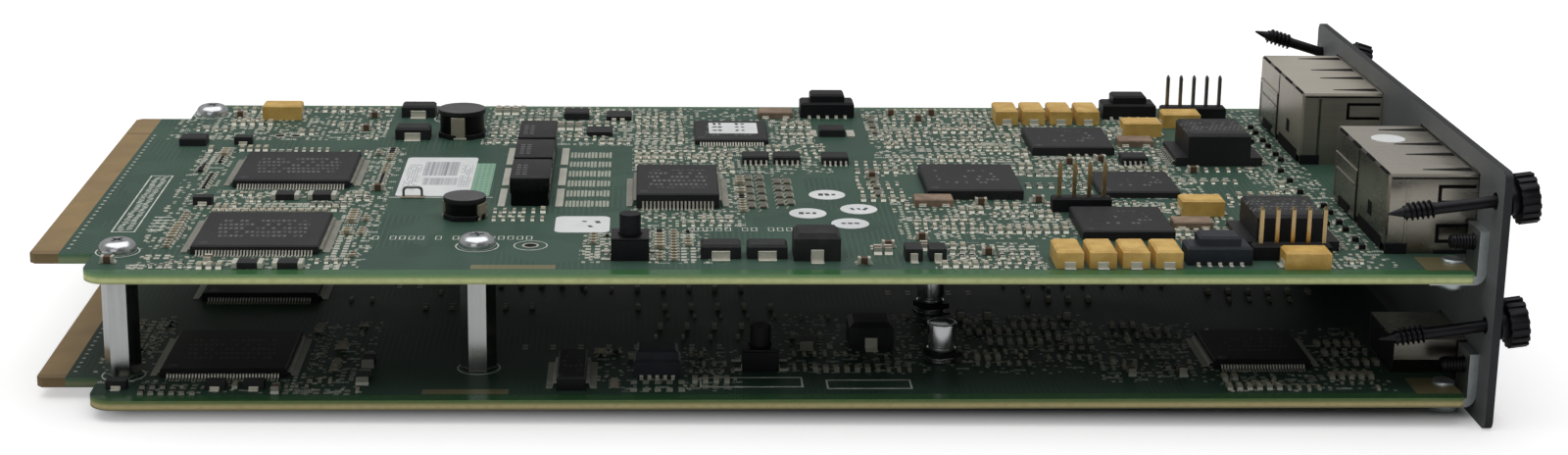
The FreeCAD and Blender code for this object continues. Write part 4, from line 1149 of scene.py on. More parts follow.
def put(tier, kind, x, y, turn=0.0):
    half = [s / 2 + (0.4 if i == 0 else 0.08) for i, s in enumerate(spans[kind])]
    if turn % 180:
        half.reverse()
    spot = (x - half[0], y - half[1], x + half[0], y + half[1])
    if any(spot[0] < t[2] and spot[2] > t[0] and spot[1] < t[3] and spot[3] > t[1] for t in taken[tier]):
        return False
    taken[tier].append(spot)
    placed[tier].append(copyOf(models[kind], spotOn(tier, x, y), turn))
    return True


# parts that the photograph shows one by one: tier, kind, turn, then their places
singles = [
    ("upper", "brownChip", 0, [(-211.0, 104.0), (-186.0, 93.5), (-185.5, 104.0), (-217.0, 6.4)]),
    ("upper", "brownChip", 90, [(-88.8, 14.2), (-201.5, 6.4)]),
    ("lower", "brownChip", 90, [(-46.2, 12.4), (-54.6, 12.0)]),
    ("lower", "ferriteBead", 90, [(-178.3, 9.5), (-178.3, 18.0)]),
    ("lower", "blackChoke", 90, [(-106.8, 26.0)]),
    ("upper", "brownChip", 0, [
        (-86.0, 107.2), (-81.1, 102.6), (-78.1, 107.4), (-88.6, 19.9), (-78.8, 11.2), (-76.3, 41.5),
        (-56.8, 69.5), (-50.8, 71.3), (-35.3, 63.5), (-30.7, 67.0), (-99.1, 5.8), (-94.5, 15.2),
        (-66.2, 43.1), (-93.6, 59.0)]),
]
bitColumns = {"firsts": (12.3, 69.4), "steps": (0.0, 10.5, 21.0), "offsets": (2.2, 6.5),
              "columns": ((-17.5, 0.0), (-19.9, -0.9), (-22.3, 1.1)), "between": (-19.4, (48.9, 56.7, 63.6))}
behindJacks = [  # black bits in three columns behind each jack, and a few between
    (x, first + step + offset + slip) for first in bitColumns["firsts"] for step in bitColumns["steps"]
    for offset in bitColumns["offsets"] for x, slip in bitColumns["columns"]]
behindJacks += [(bitColumns["between"][0], y) for y in bitColumns["between"][1]]
singles.append(("upper", "blackBit", 0, behindJacks))
for tier, kind, turn, spots in singles:
    for x, y in spots:
        put(tier, kind, x, y, turn)

# dense groups: x and y of two corners, steps, turn, share filled
groups = {
    "upper": [
        (-213, 14, -207.6, 35, 2.4, 1.5, 0, 0.85), (-213, 50, -207.6, 77, 2.4, 1.5, 0, 0.85),
        (-183, 9, -178.4, 36, 2.3, 1.4, 0, 0.85), (-183, 49, -178.4, 79, 2.3, 1.4, 0, 0.85),
        (-206, 33.5, -184, 43, 1.3, 2.6, 90, 0.85), (-214, 2.8, -180, 9.4, 1.5, 2.5, 90, 0.65),
        (-206, 43, -180, 49, 1.5, 2.5, 90, 0.60), (-213, 74, -182, 80, 1.4, 2.5, 90, 0.70),
        (-222, 86, -182, 111, 1.7, 2.7, 90, 0.50), (-163, 83, -136, 111, 1.6, 2.6, 90, 0.72),
        (-136, 62, -118, 83, 1.5, 2.5, 90, 0.62), (-136, 83, -126, 111, 1.6, 2.6, 90, 0.78),
        (-143, 8, -139.6, 24, 2.2, 1.6, 0, 0.85), (-132.4, 7, -125.6, 24, 2.3, 1.6, 0, 0.85),
        (-134, 27, -119, 37, 1.5, 2.5, 90, 0.55), (-120.4, 36, -116.5, 62, 2.2, 1.6, 0, 0.75),
        (-126, 70, -100, 82, 1.6, 2.6, 90, 0.50), (-110, 83, -102.5, 104, 1.6, 2.5, 90, 0.75),
        (-97, 40, -89, 70, 1.7, 2.7, 90, 0.45), (-90, 23, -63.5, 44, 1.55, 2.5, 90, 0.74),
        (-90, 63, -63.5, 86, 1.55, 2.5, 90, 0.74), (-87, 2.8, -71, 16, 1.6, 2.6, 90, 0.62),
        (-98, 11, -94, 17, 1.7, 2.6, 90, 0.6), (-92, 86, -63.5, 111, 1.7, 2.8, 90, 0.55),
        (-66, 60, -39, 75, 1.55, 2.5, 90, 0.75), (-66, 40, -63, 46, 1.6, 2.5, 90, 0.8),
        (-55, 36, -39, 45, 1.5, 2.4, 90, 0.75), (-47, 17, -37.6, 33, 1.6, 2.5, 90, 0.6),
        (-47, 75, -37.6, 98, 1.6, 2.5, 90, 0.7), (-40, 36, -23, 66, 2.0, 3.0, 90, 0.40),
        (-21.6, 84, -20.4, 111, 1.5, 2.4, 90, 0.7), (-22.5, 24, -20.2, 66, 1.5, 2.4, 90, 0.6),
        (-68, 46, -56, 76, 2.0, 3.0, 90, 0.35), (-160, 27, -150, 38, 1.6, 2.6, 90, 0.35),
        (-22, 3, -16, 9, 1.6, 2.5, 90, 0.7), (-36, 24, -24, 36, 1.8, 2.8, 90, 0.4),
    ],
    "lower": [
        (-222, 8, -212, 40, 2.4, 1.7, 0, 0.6), (-189.5, 9, -179, 38, 2.4, 1.6, 0, 0.55),
        (-213, 2.8, -178, 10, 1.6, 2.6, 90, 0.62), (-142, 5, -137.5, 24, 2.4, 1.6, 0, 0.6),
        (-127, 5, -119, 24, 1.7, 2.6, 90, 0.55), (-110, 13, -90, 24, 1.7, 2.6, 90, 0.5),
        (-80, 16, -58, 42, 1.7, 2.7, 90, 0.55), (-60, 8, -40, 38, 1.8, 2.8, 90, 0.42),
        (-41, 3.5, -15, 13, 1.6, 2.5, 90, 0.62), (-23, 13, -13, 34, 1.7, 2.6, 90, 0.62),
        (-175, 18, -60, 60, 4.6, 5.4, 90, 0.30), (-215, 50, -14, 110, 3.6, 4.4, 90, 0.28),
    ],
}
chances = {"tanChip": 20, "darkChip": 9, "tinyTan": 34, "tinyDark": 12, "barePads": 20, "brownChip": 2}
for tier, areas in groups.items():  # rows made of short runs of one kind
    for x0, y0, x1, y1, stepX, stepY, turn, share in areas:
        long, short = (stepX, stepY) if turn else (stepY, stepX)
        ends = (x0, y0, x1, y1) if turn else (y0, x0, y1, x1)
        across = ends[1] + short / 2
        while across < ends[3]:
            along = ends[0] + long * dice.uniform(0.3, 0.9)
            run, drift = 0, 0.0
            while along < ends[2]:
                if run == 0:
                    run, drift = dice.randint(2, 6), dice.uniform(-0.4, 0.4)
                    kind = dice.choices(list(chances), list(chances.values()))[0]
                    kind = kind if dice.random() < share * 1.1 else None
                if kind:
                    x, y = (along, across) if turn else (across, along)
                    put(tier, kind, x, y + drift if turn else y, turn)
                run -= 1
                along += long
            across += short
for tier, copies in placed.items():
    print(tier, "small parts:", len(copies))
    parts = gather(tier + "SmallParts", copies)
    for slot in parts.material_slots if tier == "lower" else []:  # painted shade: the lower board's joints get the darker solder copy
        slot.material = looks["dimSolder"] if slot.material == looks["solder"] else slot.material
    settle(parts)
discard(*models.values())


# flat pads and the tabs of the bigger parts: tier, low corner, high corner, height
coilPads = {"columns": ((-158.5, -157.3), (-148.8, -147.5)),
            "rows": ((39.4, 50.9), (53.2, 65.1), (67.5, 79.7))}
tabPlates = [("upper", (x0, y0), (x1, y1), 0.12)
             for x0, x1 in coilPads["columns"] for y0, y1 in coilPads["rows"]]
tabPlates += [
    ("lower", (-46.9, 10.4), (-45.5, 11.2), 0.3),
    ("upper", (-102.9, 88.8), (-101.4, 93.6), 0.3), ("upper", (-95.8, 88.8), (-94.3, 93.6), 0.3),
]


def laid(tier, name, low, high, rise, corner, kind, lift=0.0):  # a plate with rounded corners
    plate = startSheet(name, low, high)
    enter(plate)
    bpy.ops.mesh.bevel(offset=corner * mm, segments=3, affect="VERTICES")
    leave()
    thicken(plate, rise)
    wear(plate, kind)
    shift(plate, 0, nearEdge, tiers[tier] + lift)
    return plate


plates = [laid(tier, "tabPlate", low, high, rise, 0.15, "solder") for tier, low, high, rise in tabPlates]


def endTab(width, reach, height):  # a bent tab at the near side of a moulded part
    tab = startBlock("endTab", (-width / 2, -reach, 0.0), (width / 2, 0.12, 0.22))
    riser = startBlock("riser", (-width / 2, -0.14, 0.1), (width / 2, 0.1, height))
    soften(riser, 0.06, 1)
    soften(tab, 0.05, 1)
    whole = gather("endTab", [tab, riser])
    wear(whole, "solder")
    return whole


tabbed = {
    "moulded_capacitors": (0.42, 0.9, 1.1), "power_diodes": (0.46, 1.5, 1.35),
    "moulded_chokes": (0.28, 1.8, 1.9), "oscillators": (0.20, 0.5, 0.5), "transistors": (0.48, 0.9, 0.6),
}
for node, (share, reach, height) in tabbed.items():  # tab width as a share, reach and height
    for low, high in solidBoxes(node):
        wide = high.x - low.x
        if wide > (high.y - low.y) + 0.6 and node == "moulded_capacitors":  # ends on the X sides
            tab = endTab((high.y - low.y) * 0.55, 0.7, height)
            for turn, x in ((270, low.x), (90, high.x)):
                plates.append(copyOf(tab, (x, (low.y + high.y) / 2, low.z), turn))
        else:
            tab = endTab(wide * share, reach, height)
            for slip in (-0.3, 0.3) if node == "oscillators" else (0.0,):
                x = (low.x + high.x) / 2 + slip * wide
                plates.append(copyOf(tab, (x, low.y, low.z)))
                plates.append(copyOf(tab, (x, high.y, low.z), 180))
        discard(tab)

for low, high in solidBoxes("ferrite_beads"):  # silvered ends
    for x0, x1 in ((low.x - 0.30, low.x + 0.55), (high.x - 0.55, high.x + 0.30)):
        cap = startBlock("beadEnd", (x0, low.y - 0.06, low.z), (x1, high.y + 0.06, high.z + 0.05))
        soften(cap, 0.12, 2)
        wear(cap, "solder")
        plates.append(cap)

# pins in front of the link sockets and feet of the push switches
linkPins = {"count": 5, "tab": (0.62, 1.1, 0.5), "padRows": (4.7, 8.4), "padX": -131.5, "padPitch": 1.9}
foot = endTab(*linkPins["tab"])
for side in ("near", "far", "rear", "lower"):
    low, high = boxOf(side + "_link_socket")
    for i in range(linkPins["count"]):
        x = low.x + (i + 1) * (high.x - low.x) / (linkPins["count"] + 1)
        plates.append(copyOf(foot, (x, low.y, low.z)))
discard(foot)
pairBlock = {"first": 41.3, "pitch": 6.7, "rows": 6, "half": 2.2, "columns": (-146.0, -143.5, -140.9),
             "strips": (-0.92, -0.31, 0.31, 0.92), "halfWidth": 0.22}
for x in pairBlock["columns"]:  # block of paired strips right of the coil blocks
    for row in range(pairBlock["rows"]):
        y = pairBlock["first"] + row * pairBlock["pitch"]
        for strip in pairBlock["strips"]:
            half = pairBlock["half"] * dice.uniform(0.80, 1.0)
            low = x + strip - pairBlock["halfWidth"], y - half
            high = x + strip + pairBlock["halfWidth"], y + half
            plates.append(laid("upper", "pairStrip", low, high, 0.05, 0.06, "dullPad"))
for i in range(linkPins["count"]):  # bare pads in front of the lower link socket
    for y in linkPins["padRows"]:
        x = linkPins["padX"] + (i - 2) * linkPins["padPitch"]
        plates.append(laid("lower", "linkPad", (x - 0.5, y - 0.9), (x + 0.5, y + 0.9), 0.06, 0.1, "dullPad"))
switchTrim = {"tab": (0.75, 1.6, 1.0), "fromEdge": 0.7,
              "proud": 0.02, "skirt": 0.28, "rise": 0.08, "bore": 1.95}
switches = [boxOf(tier + "_switch_body") for tier in tiers]
foot = endTab(*switchTrim["tab"])
for low, high in switches:
    for x, turn in ((low.x, 270), (high.x, 90)):
        for y in (low.y + switchTrim["fromEdge"], high.y - switchTrim["fromEdge"]):
            plates.append(copyOf(foot, (x, y, low.z), turn))
discard(foot)
settle(gather("tabsAndPads", plates))
print("tabs done")
plates = []
for low, high in switches:
    proud = switchTrim["proud"]
    foot = (low.x - proud, low.y - proud, high.z - switchTrim["skirt"])
    frameTop = startBlock("switchFrame", foot, (high.x + proud, high.y + proud, high.z + switchTrim["rise"]))
    bore = startRound("bore", switchTrim["bore"], high.z - 1, high.z + 1, 32)
    shift(bore, (low.x + high.x) / 2, (low.y + high.y) / 2)
    carve(frameTop, bore)
    soften(frameTop, 0.08, 2)
    wear(frameTop, "black")
    plates.append(frameTop)
settle(gather("switchFrames", plates))


# square header pins with pointed tips
pinFacts = {"point": 0.5, "tip": 0.35, "greyFrom": 20}


def pinModel(low, high):
    half, tall = (high.x - low.x) / 2, high.z - low.z
    pin = startBlock("pin", (-half, -half, 0), (half, half, tall - pinFacts["point"]))
    pickTop(pin)
    extrude(z=pinFacts["point"])
    resize(pinFacts["tip"], pinFacts["tip"], 1.0, (0, 0, tall))
    leave()
    return pin


pins = {"giltPins": [], "greyPins": []}
for low, high in solidBoxes("header_pins"):
    pin = pinModel(low, high)
    middle = (low + high) / 2
    grey = middle.y > pinFacts["greyFrom"]
    wear(pin, "greyPin" if grey else "gilt")
    pins["greyPins" if grey else "giltPins"].append(copyOf(pin, (middle.x, middle.y, low.z)))
    discard(pin)
for name, copies in pins.items():
    settle(gather(name, copies), stands=["header_pins"])
print("pins done")


# drum coils: flange, wound waist, flange, on a moulded base
drum = {"winding": 0.93, "rim": 0.9, "base": 0.9, "clipWidth": 2.6, "clipTurns": {"near": -25, "far": -97}}


def drumCoil(low, high):
    clipTurn = drum["clipTurns"]["near" if low.y + high.y < 0 else "far"]
    radius = min(high.x - low.x, high.y - low.y) / 2
    tall = high.z - low.z
    base, rim, wound = drum["base"], drum["rim"], radius * drum["winding"]
    coil = startRound("drumCoil", wound, base * 0.5, tall - rim, 44)
    pickTop(coil)
    extrude()
    resize(radius / wound, radius / wound, 1.0)
    extrude(z=rim)
    inset(radius * 0.16)
    inset(radius * 0.05, -0.10)
    inset(radius * 0.45)
    inset(radius * 0.05, 0.06)
    leave()
    soften(coil, 0.12, 2, 60)
    edge = tall - rim + 0.02
    wear(coil, "winding", "ferrite", "coreTop",
         choose=lambda c, n: 0 if c.z < edge and abs(n.z) < 0.5 else 2 if n.z > 0.4 and c.z > edge else 1)
    smooth(coil, 40)
    side = radius * 0.97
    plate = startBlock("drumBase", (-side, -side, 0), (side, side, base))
    pick(plate, "EDGE", lambda a, b: abs(a.z - b.z) > 0.05)
    bpy.ops.mesh.bevel(offset=radius * 0.5 * mm, segments=1, affect="EDGES")
    leave()
    soften(plate, 0.08, 1)
    wear(plate, "moulding")
    clips = []
    for turn in (clipTurn, clipTurn + 180):
        half = drum["clipWidth"] / 2
        clip = startBlock("drumClip", (wound * 0.9, -half, 0), (wound + 0.25, half, tall - rim - 0.1))
        foot = startBlock("drumFoot", (wound, -half * 1.2, 0), (radius, half * 1.2, base * 0.5))
        soften(clip, 0.08, 1)
        soften(foot, 0.10, 2)
        wear(clip, "clip")
        wear(foot, "solder")
        for part in (clip, foot):
            swing(part, turn)
            clips.append(part)
    return gather("drumCoil", [coil, plate, *clips])


dressSolids("drum_coils", "drumCoilDetail", drumCoil)

# coil blocks: moulded covers with a seam round them and worn marks on top
coil = {"gap": 0.14, "seam": 0.42, "waist": 0.965, "edge": 0.30,
        "markX": (0.9, 2.0), "markY": 2.2, "markStep": 1.5, "markRows": 5, "mark": (0.75, 0.55)}


def coilBlock(low, high):
    wide, deep, tall = high - low
    half = wide / 2, deep / 2 - coil["gap"]
    block = startBlock("coilBlock", (-half[0], -half[1], 0), (half[0], half[1], tall))
    for share in (coil["seam"], coil["seam"] + 0.05):
        enter(block)
        bpy.ops.mesh.bisect(plane_co=(0, 0, tall * share * mm), plane_no=(0, 0, 1))
        leave()
    pick(block, "EDGE", lambda a, b: max(a.z, b.z) < tall * coil["seam"] + 0.01)
    resize(coil["waist"], coil["waist"], 1.0)
    leave()
    soften(block, coil["edge"], 3, 60)
    wear(block, "gloss", "case", choose=lambda c, n: 1 if n.z > 0.7 else 0)
    smooth(block, 50)
    marks = []
    for row in range(coil["markRows"]):
        for across in coil["markX"]:
            x, y = across - half[0], coil["markY"] - half[1] + row * coil["markStep"]
            dash = startSheet("coilMark", (x, y), (x + coil["mark"][0], y + coil["mark"][1]))
            thicken(dash, 0.02)
            shift(dash, z=tall - 0.005)
            wear(dash, "markInk")
            marks.append(dash)
    return gather("coilBlock", [block, *marks])


dressSolids("coil_blocks", "coilBlockDetail", coilBlock)

# can capacitors: crimped can over a square base, heights as shares of the whole
canFacts = {"base": 0.16, "foot": 0.22, "neck": 0.90,
            "steps": (0.04, 0.05, 0.04, 0.65), "turn": 200, "mark": 0.76}


def canCapacitor(low, high):
    radius = min(high.x - low.x, high.y - low.y) / 2
    tall = high.z - low.z
    base = startBlock("canBase", (-radius, -radius, 0), (radius, radius, tall * canFacts["base"]))
    pick(base, "EDGE", lambda a, b: abs(a.z - b.z) > 0.05 and min(a.x, b.x) > 0)
    bpy.ops.mesh.bevel(offset=radius * 0.4 * mm, segments=1, affect="EDGES")
    leave()
    wear(base, "moulding")
    can = startRound("can", radius * 0.96, tall * canFacts["base"], tall * canFacts["foot"], 40)
    neck = canFacts["neck"]
    pickTop(can)
    for step, grow in zip(canFacts["steps"], (neck, 1.0, 1 / neck, 1.0)):
        extrude(z=tall * step)
        if grow != 1.0:
            resize(grow, grow, 1.0)
    inset(radius * 0.16)
    inset(radius * 0.03, -0.06)
    leave()
    soften(can, 0.18, 3, 55)
    wear(can, "can")
    smooth(can, 40)
    crown = startDisc("canMark", radius * canFacts["mark"], 40)
    enter(crown)
    bpy.ops.mesh.bisect(plane_co=(-radius * 0.3 * mm, 0, 0), plane_no=(1, 0, 0), clear_outer=True)
    leave()
    thicken(crown, 0.05)
    shift(crown, z=tall - 0.07)
    wear(crown, "case")
    return gather("canCapacitor", [base, can, crown])


dressSolids("can_capacitors", "canCapacitorDetail", canCapacitor, canFacts["turn"])
print("coils and cans done")


# labels and round stickers
paper = [laid("upper", "barLabel", (-176.3, 46.0), (-163.7, 72.6), 0.10, 0.8, "barLabel"),
         laid("upper", "stripLabel", (-163.9, 46.0), (-160.3, 68.5), 0.06, 0.3, "greenFilm"),
         laid("upper", "smallLabel", (-148.4, 23.4), (-139.4, 33.2), 0.10, 1.2, "paper")]
low, high = boxOf("memory_chip")
top = high.z - tiers["upper"]
paper.append(laid("upper", "chipLabel", (low.x + 2.7, low.y - nearEdge + 4.2),
                  (high.x - 1.8, high.y - nearEdge - 2.4), 0.08, 0.3, "paper", top))


def roundSticker():
    disc = startDisc("roundSticker", stickers["radius"], 44)
    pickAll(disc)
    inset(0.25)
    leave()
    thicken(disc, 0.09)
    wear(disc, "paper")
    return disc


disc = roundSticker()
paper += [copyOf(disc, spotOn("upper", x, y)) for x, y in stickers["spots"]]
strokes = {"sticker": (-1.1, 0.0, 1.1), "small": [(-142.6, 27.0), (-141.4, 29.6), (-143.6, 30.0)],
           "chipX": (-3.0, -2.0, 1.2, 2.3), "chipY": (-1.0, 1.6, 4.0)}
stroke = startSheet("labelStroke", (-0.45, -0.5), (0.45, 0.5))  # plain pen strokes
thicken(stroke, 0.02)
wear(stroke, "labelInk")
drawn = [(x + slip, y, 0.0) for x, y in stickers["spots"] for slip in strokes["sticker"]]
drawn += [(x, y, 0.0) for x, y in strokes["small"]]
middle = (low + high) / 2
drawn += [(middle.x + x, middle.y - nearEdge + y, top) for x in strokes["chipX"] for y in strokes["chipY"]]
for x, y, lift in drawn:
    turn, stretch = dice.uniform(-30, 30), (dice.uniform(0.5, 1.0), dice.uniform(0.6, 1.6), 1.0)
    paper.append(copyOf(stroke, spotOn("upper", x, y, lift + 0.095), turn, stretch))
discard(stroke)
low, high = boxOf("near_jack_shield")
paper.append(copyOf(disc, (-8.4, high.y - 9.6, high.z), 0, (0.9, 0.9, 1.0)))
discard(disc)
settle(gather("paperLabels", paper))


# printed rings and frames on the boards
inkFacts = {
    "rise": 0.03, "ring": 3.5, "ringWidth": 0.22, "testHole": (-151.9, 16.0), "testShare": 0.78,
    "frames": [
        ("upper", (-219.9, 23.6), (-216.0, 59.6), 0.25), ("lower", (-124.8, 5.9), (-108.3, 10.7), 0.3),
        ("lower", (-104.6, 5.0), (-90.9, 9.4), 0.3), ("upper", (-177.3, 45.2), (-159.6, 45.6), 0.18)],
    "slantX": (-218.6, -217.3), "slantY": (24.8, 58.8), "slantStep": 0.95, "slant": 40,
    "boxRows": ((-177, -151, 20.4), (-126, -109, 25.6)), "boxSteps": (1.5, 1.5, 1.5, 1.5, 2.8),
}


def inkOutline(sheet, width):
    pickAll(sheet)
    inset(width)
    bpy.ops.mesh.delete(type="FACE")
    leave()
    thicken(sheet, inkFacts["rise"])
    wear(sheet, "ink")
    return sheet


prints = []
ring = inkOutline(startDisc("inkRing", inkFacts["ring"], 48), inkFacts["ringWidth"])
for tier in tiers:
    for low, high in solidBoxes("post_top_screws"):
        middle = (low + high) / 2
        prints.append(copyOf(ring, (middle.x, middle.y, tiers[tier])))
share = inkFacts["testShare"]
prints.append(copyOf(ring, spotOn("upper", *inkFacts["testHole"]), 0, (share, share, 1.0)))
discard(ring)
for tier, low, high, width in inkFacts["frames"]:
    rim = inkOutline(startSheet("inkFrame", low, high), width)
    shift(rim, 0, nearEdge, tiers[tier])
    prints.append(rim)
dash = startSheet("inkDash", (-0.55, -0.16), (0.55, 0.16))
thicken(dash, inkFacts["rise"])
wear(dash, "ink")
y, last = inkFacts["slantY"]
while y < last:  # slanted dashes inside the long frame
    for x, lag in zip(inkFacts["slantX"], (0.0, 0.4)):
        spot = spotOn("upper", x + dice.uniform(-0.2, 0.2), y + lag)
        prints.append(copyOf(dash, spot, inkFacts["slant"]))
    y += inkFacts["slantStep"]
for i in range(5):
    prints.append(copyOf(dash, spotOn("upper", -213.0, 25.0 + i * 1.9), 0, (2.6, 1.3, 1)))
plainBox = inkOutline(startSheet("inkFrame", (-0.5, -1.0), (0.5, 1.0)), 0.15)
for x, last, y in inkFacts["boxRows"]:  # rows of plain boxes
    while x < last:
        prints.append(copyOf(plainBox, spotOn("upper", x, y)))
        x += dice.choice(inkFacts["boxSteps"])
discard(plainBox, dash)
settle(gather("boardPrint", prints))


# plated holes: the test hole, a few pads, and staggered rows beside the lower flat pack
holeFacts = {
    "radius": 0.72, "rim": 0.24, "rise": 0.05, "rowShare": 0.6, "rowCount": 18,
    "rowStep": 1.1, "stagger": 1.5,
    "large": ((-151.9, 16.0, 1.9), (-99.3, 6.5, 1.7), (-201.5, 89.0, 1.6), (-198.6, 89.0, 1.6)),
    "rows": ((-187.6, 16), (-215.4, 24)),
}


def platedHole():
    ring = startDisc("platedHole", holeFacts["radius"], 14)
    pickAll(ring)
    inset(holeFacts["radius"] * holeFacts["rim"])
    leave()
    # the centre in the hole finish is painted shade in the bore
    wear(ring, "solder", "hole", choose=lambda c, n: 1 if c.xy.length < 1e-3 else 0)
    pickAll(ring)
    extrude(z=holeFacts["rise"])
    leave()
    return ring


hole = platedHole()
spots = [("upper", x, y, grow) for x, y, grow in holeFacts["large"]]
spots += [("lower", x + holeFacts["stagger"] * (i % 2), y + i * holeFacts["rowStep"], holeFacts["rowShare"])
          for i in range(holeFacts["rowCount"]) for x, y in holeFacts["rows"]]
holes = [copyOf(hole, spotOn(tier, x, y), 0, (grow, grow, 1)) for tier, x, y, grow in spots]
discard(hole)
settle(gather("platedHoles", holes))
print("labels, print and holes done")


# resistor packs in columns: x, first y and count
packFacts = {
    "ends": 4, "pitch": 0.8, "farSpread": 3.0, "step": 4.6,
    "columns": ((-115.6, 40.0, 5), (-113.6, 40.0, 5), (-110.6, 42.0, 4), (-108.9, 42.0, 4),
                (-90.4, 93.0, 3), (-93.4, 48.0, 4)),
}


def resistorPack(count, pitch):
    bed = startBlock("packBed", (-0.55, -count * pitch / 2, 0.04), (0.55, count * pitch / 2, 0.42))
    soften(bed, 0.06, 1)
    wear(bed, "packBody")
    tip = startBlock("packTip", (0.42, -pitch * 0.3, 0.0), (0.86, pitch * 0.3, 0.46))
    pick(tip, "EDGE", lambda a, b: min(a.z, b.z) > 0.1 and min(a.x, b.x) > 0.8)
    nudge(z=-0.36)
    leave()
    wear(tip, "solder")
    tips = []
    for i in range(count):
        y = (i - (count - 1) / 2) * pitch
        tips += [copyOf(tip, (0, y, 0)), copyOf(tip, (0, y * packFacts["farSpread"], 0), 180)]
    discard(tip)
    return gather("resistorPack", [bed, *tips])


pack = resistorPack(packFacts["ends"], packFacts["pitch"])
packs = []
for x, first, count in packFacts["columns"]:
    packs += [copyOf(pack, spotOn("upper", x, first + i * packFacts["step"])) for i in range(count)]
discard(pack)
settle(gather("resistorPacks", packs))

# bare wire arch that stands in front of the label
archFacts = {"half": 1.75, "thick": 0.40, "tall": 2.0, "corner": 0.75, "innerCorner": 0.5,
             "spot": (-173.2, 45.4)}


def wireArch():
    half, thick, tall = archFacts["half"], archFacts["thick"], archFacts["tall"]
    arch = startBlock("wireArch", (-half, -thick / 2, 0), (half, thick / 2, tall))
    opening = startBlock("opening", (-half + thick, -1, -1), (half - thick, 1, tall - thick))
    bends = (arch, archFacts["corner"], tall), (opening, archFacts["innerCorner"], tall - thick)
    for block, corner, top in bends:
        pick(block, "EDGE", lambda a, b: min(a.z, b.z) > top - 0.01 and abs(a.y - b.y) > 0.1)
        bpy.ops.mesh.bevel(offset=corner * mm, segments=5, affect="EDGES")
        leave()
    carve(arch, opening)
    soften(arch, 0.09, 2, 60)
    pad = startBlock("archPad", (-half - 0.3, -0.7, 0), (half + 0.3, 0.7, 0.25))
    soften(pad, 0.1, 2)
    wear(pad, "clip")
    wear(arch, "greyPin")
    smooth(arch, 50)
    whole = gather("wireArch", [arch, pad])
    shift(whole, *spotOn("upper", *archFacts["spot"]))
    return whole


settle(wireArch())


# jack trims: rear plate, side fold, contacts in the ports, and dark plates as painted shade in the slits,
# seams and vents
jack = {
    "plate": 0.22, "seam": 0.55, "slot": 0.27, "dashes": (0.11, 0.36, 0.62, 0.88), "dashLength": 4.6,
    "contacts": 8, "contactPitch": 1.02, "portPitch": 15.6, "portRoof": 11.0,
    "slitEnds": (-8.3, -0.3), "slitWidth": 2.2, "slitTip": 0.2, "slits": (-13.5, -3.5, 3.5, 13.5),
}


def trimBlock(name, low, high, edge, kind):
    trim = startBlock(name, low, high)
    soften(trim, edge, 1)
    wear(trim, kind)
    return trim


def jackTrim(node):
    low, high = boxOf(node)
    wide = high.y - low.y
    seam = low.y + wide * jack["seam"]
    proud = low.x - jack["plate"]
    dark, skin = low.x - 0.05, low.x + 0.05
    rear = startBlock("rearPlate", (proud, seam + 0.3, low.z + 0.6), (skin, high.y - 0.8, low.z + 9.0))
    pick(rear, "FACE", lambda c, n: n.x < -0.9)
    inset(0.7)
    inset(0.12, -0.12)
    leave()
    soften(rear, 0.08, 2)
    wear(rear, "nickel")
    slotY = low.y + wide * jack["slot"]
    rows = [  # name, two corners, edge and finish
        # the rows in the hole finish are dark plates: painted shade in the seam, slot, vents and the fold
        # under the top edge
        ("rearSeam", (dark, seam - 0.2, low.z), (skin, seam + 0.2, high.z - 0.6), 0.02, "hole"),
        ("rearSlot", (dark, slotY, low.z + 3.8), (skin, slotY + 2.2, low.z + 6.1), 0.02, "hole"),
        ("rearVent", (dark, low.y + 2.4, low.z), (skin, seam - 1.8, low.z + 2.2), 0.02, "hole"),
        ("farVent", (proud - 0.04, seam + 3.8, low.z + 0.5), (low.x, seam + 10.5, low.z + 2.0), 0.02, "hole"),
        ("rearLedge", (proud - 0.1, seam + 1.2, low.z + 6.2), (low.x, high.y - 1.8, low.z + 6.5),
         0.03, "nickel"),
        ("sideFold", (low.x + 2.9, low.y - 0.12, low.z + 1.6), (low.x + 3.4, low.y + 0.05, high.z - 0.8),
         0.05, "nickel"),
        ("topLine", (low.x + 0.5, low.y - 0.03, high.z - 0.78), (-0.1, low.y + 0.05, high.z - 0.52),
         0.01, "hole"),
        ("jackFoot", (low.x, low.y - 0.14, low.z), (low.x + 3.6, low.y + 0.4, low.z + 1.8), 0.06, "moulding"),
        ("jackFoot", (low.x + 8.0, low.y - 0.14, low.z), (-0.4, low.y + 0.4, low.z + 0.7), 0.06, "moulding"),
    ]
    trims = [rear, *[trimBlock(*row) for row in rows]]
    # dark dashes along the top rear edge: painted shade in the seam gaps
    half = jack["dashLength"] / 2
    gap = trimBlock("seamGap", (dark, -half, high.z - 0.42), (low.x + 0.48, half, high.z + 0.02),
                    0.12, "hole")
    trims += [copyOf(gap, (0, low.y + wide * share, 0)) for share in jack["dashes"]]
    discard(gap)
    # dark wedges on the top: painted shade in the slits
    back, front = jack["slitEnds"]
    slit = startSheet("topSlit", (back, -jack["slitWidth"] / 2), (front, jack["slitWidth"] / 2))
    pick(slit, "EDGE", lambda a, b: max(a.x, b.x) < back + 0.1)
    resize(1.0, jack["slitTip"], 1.0)
    leave()
    thicken(slit, 0.03)
    wear(slit, "hole")
    trims += [copyOf(slit, (0, low.y + wide / 2 + y, high.z)) for y in jack["slits"]]
    discard(slit)
    return gather(pieceName(node, "Trim"), trims)


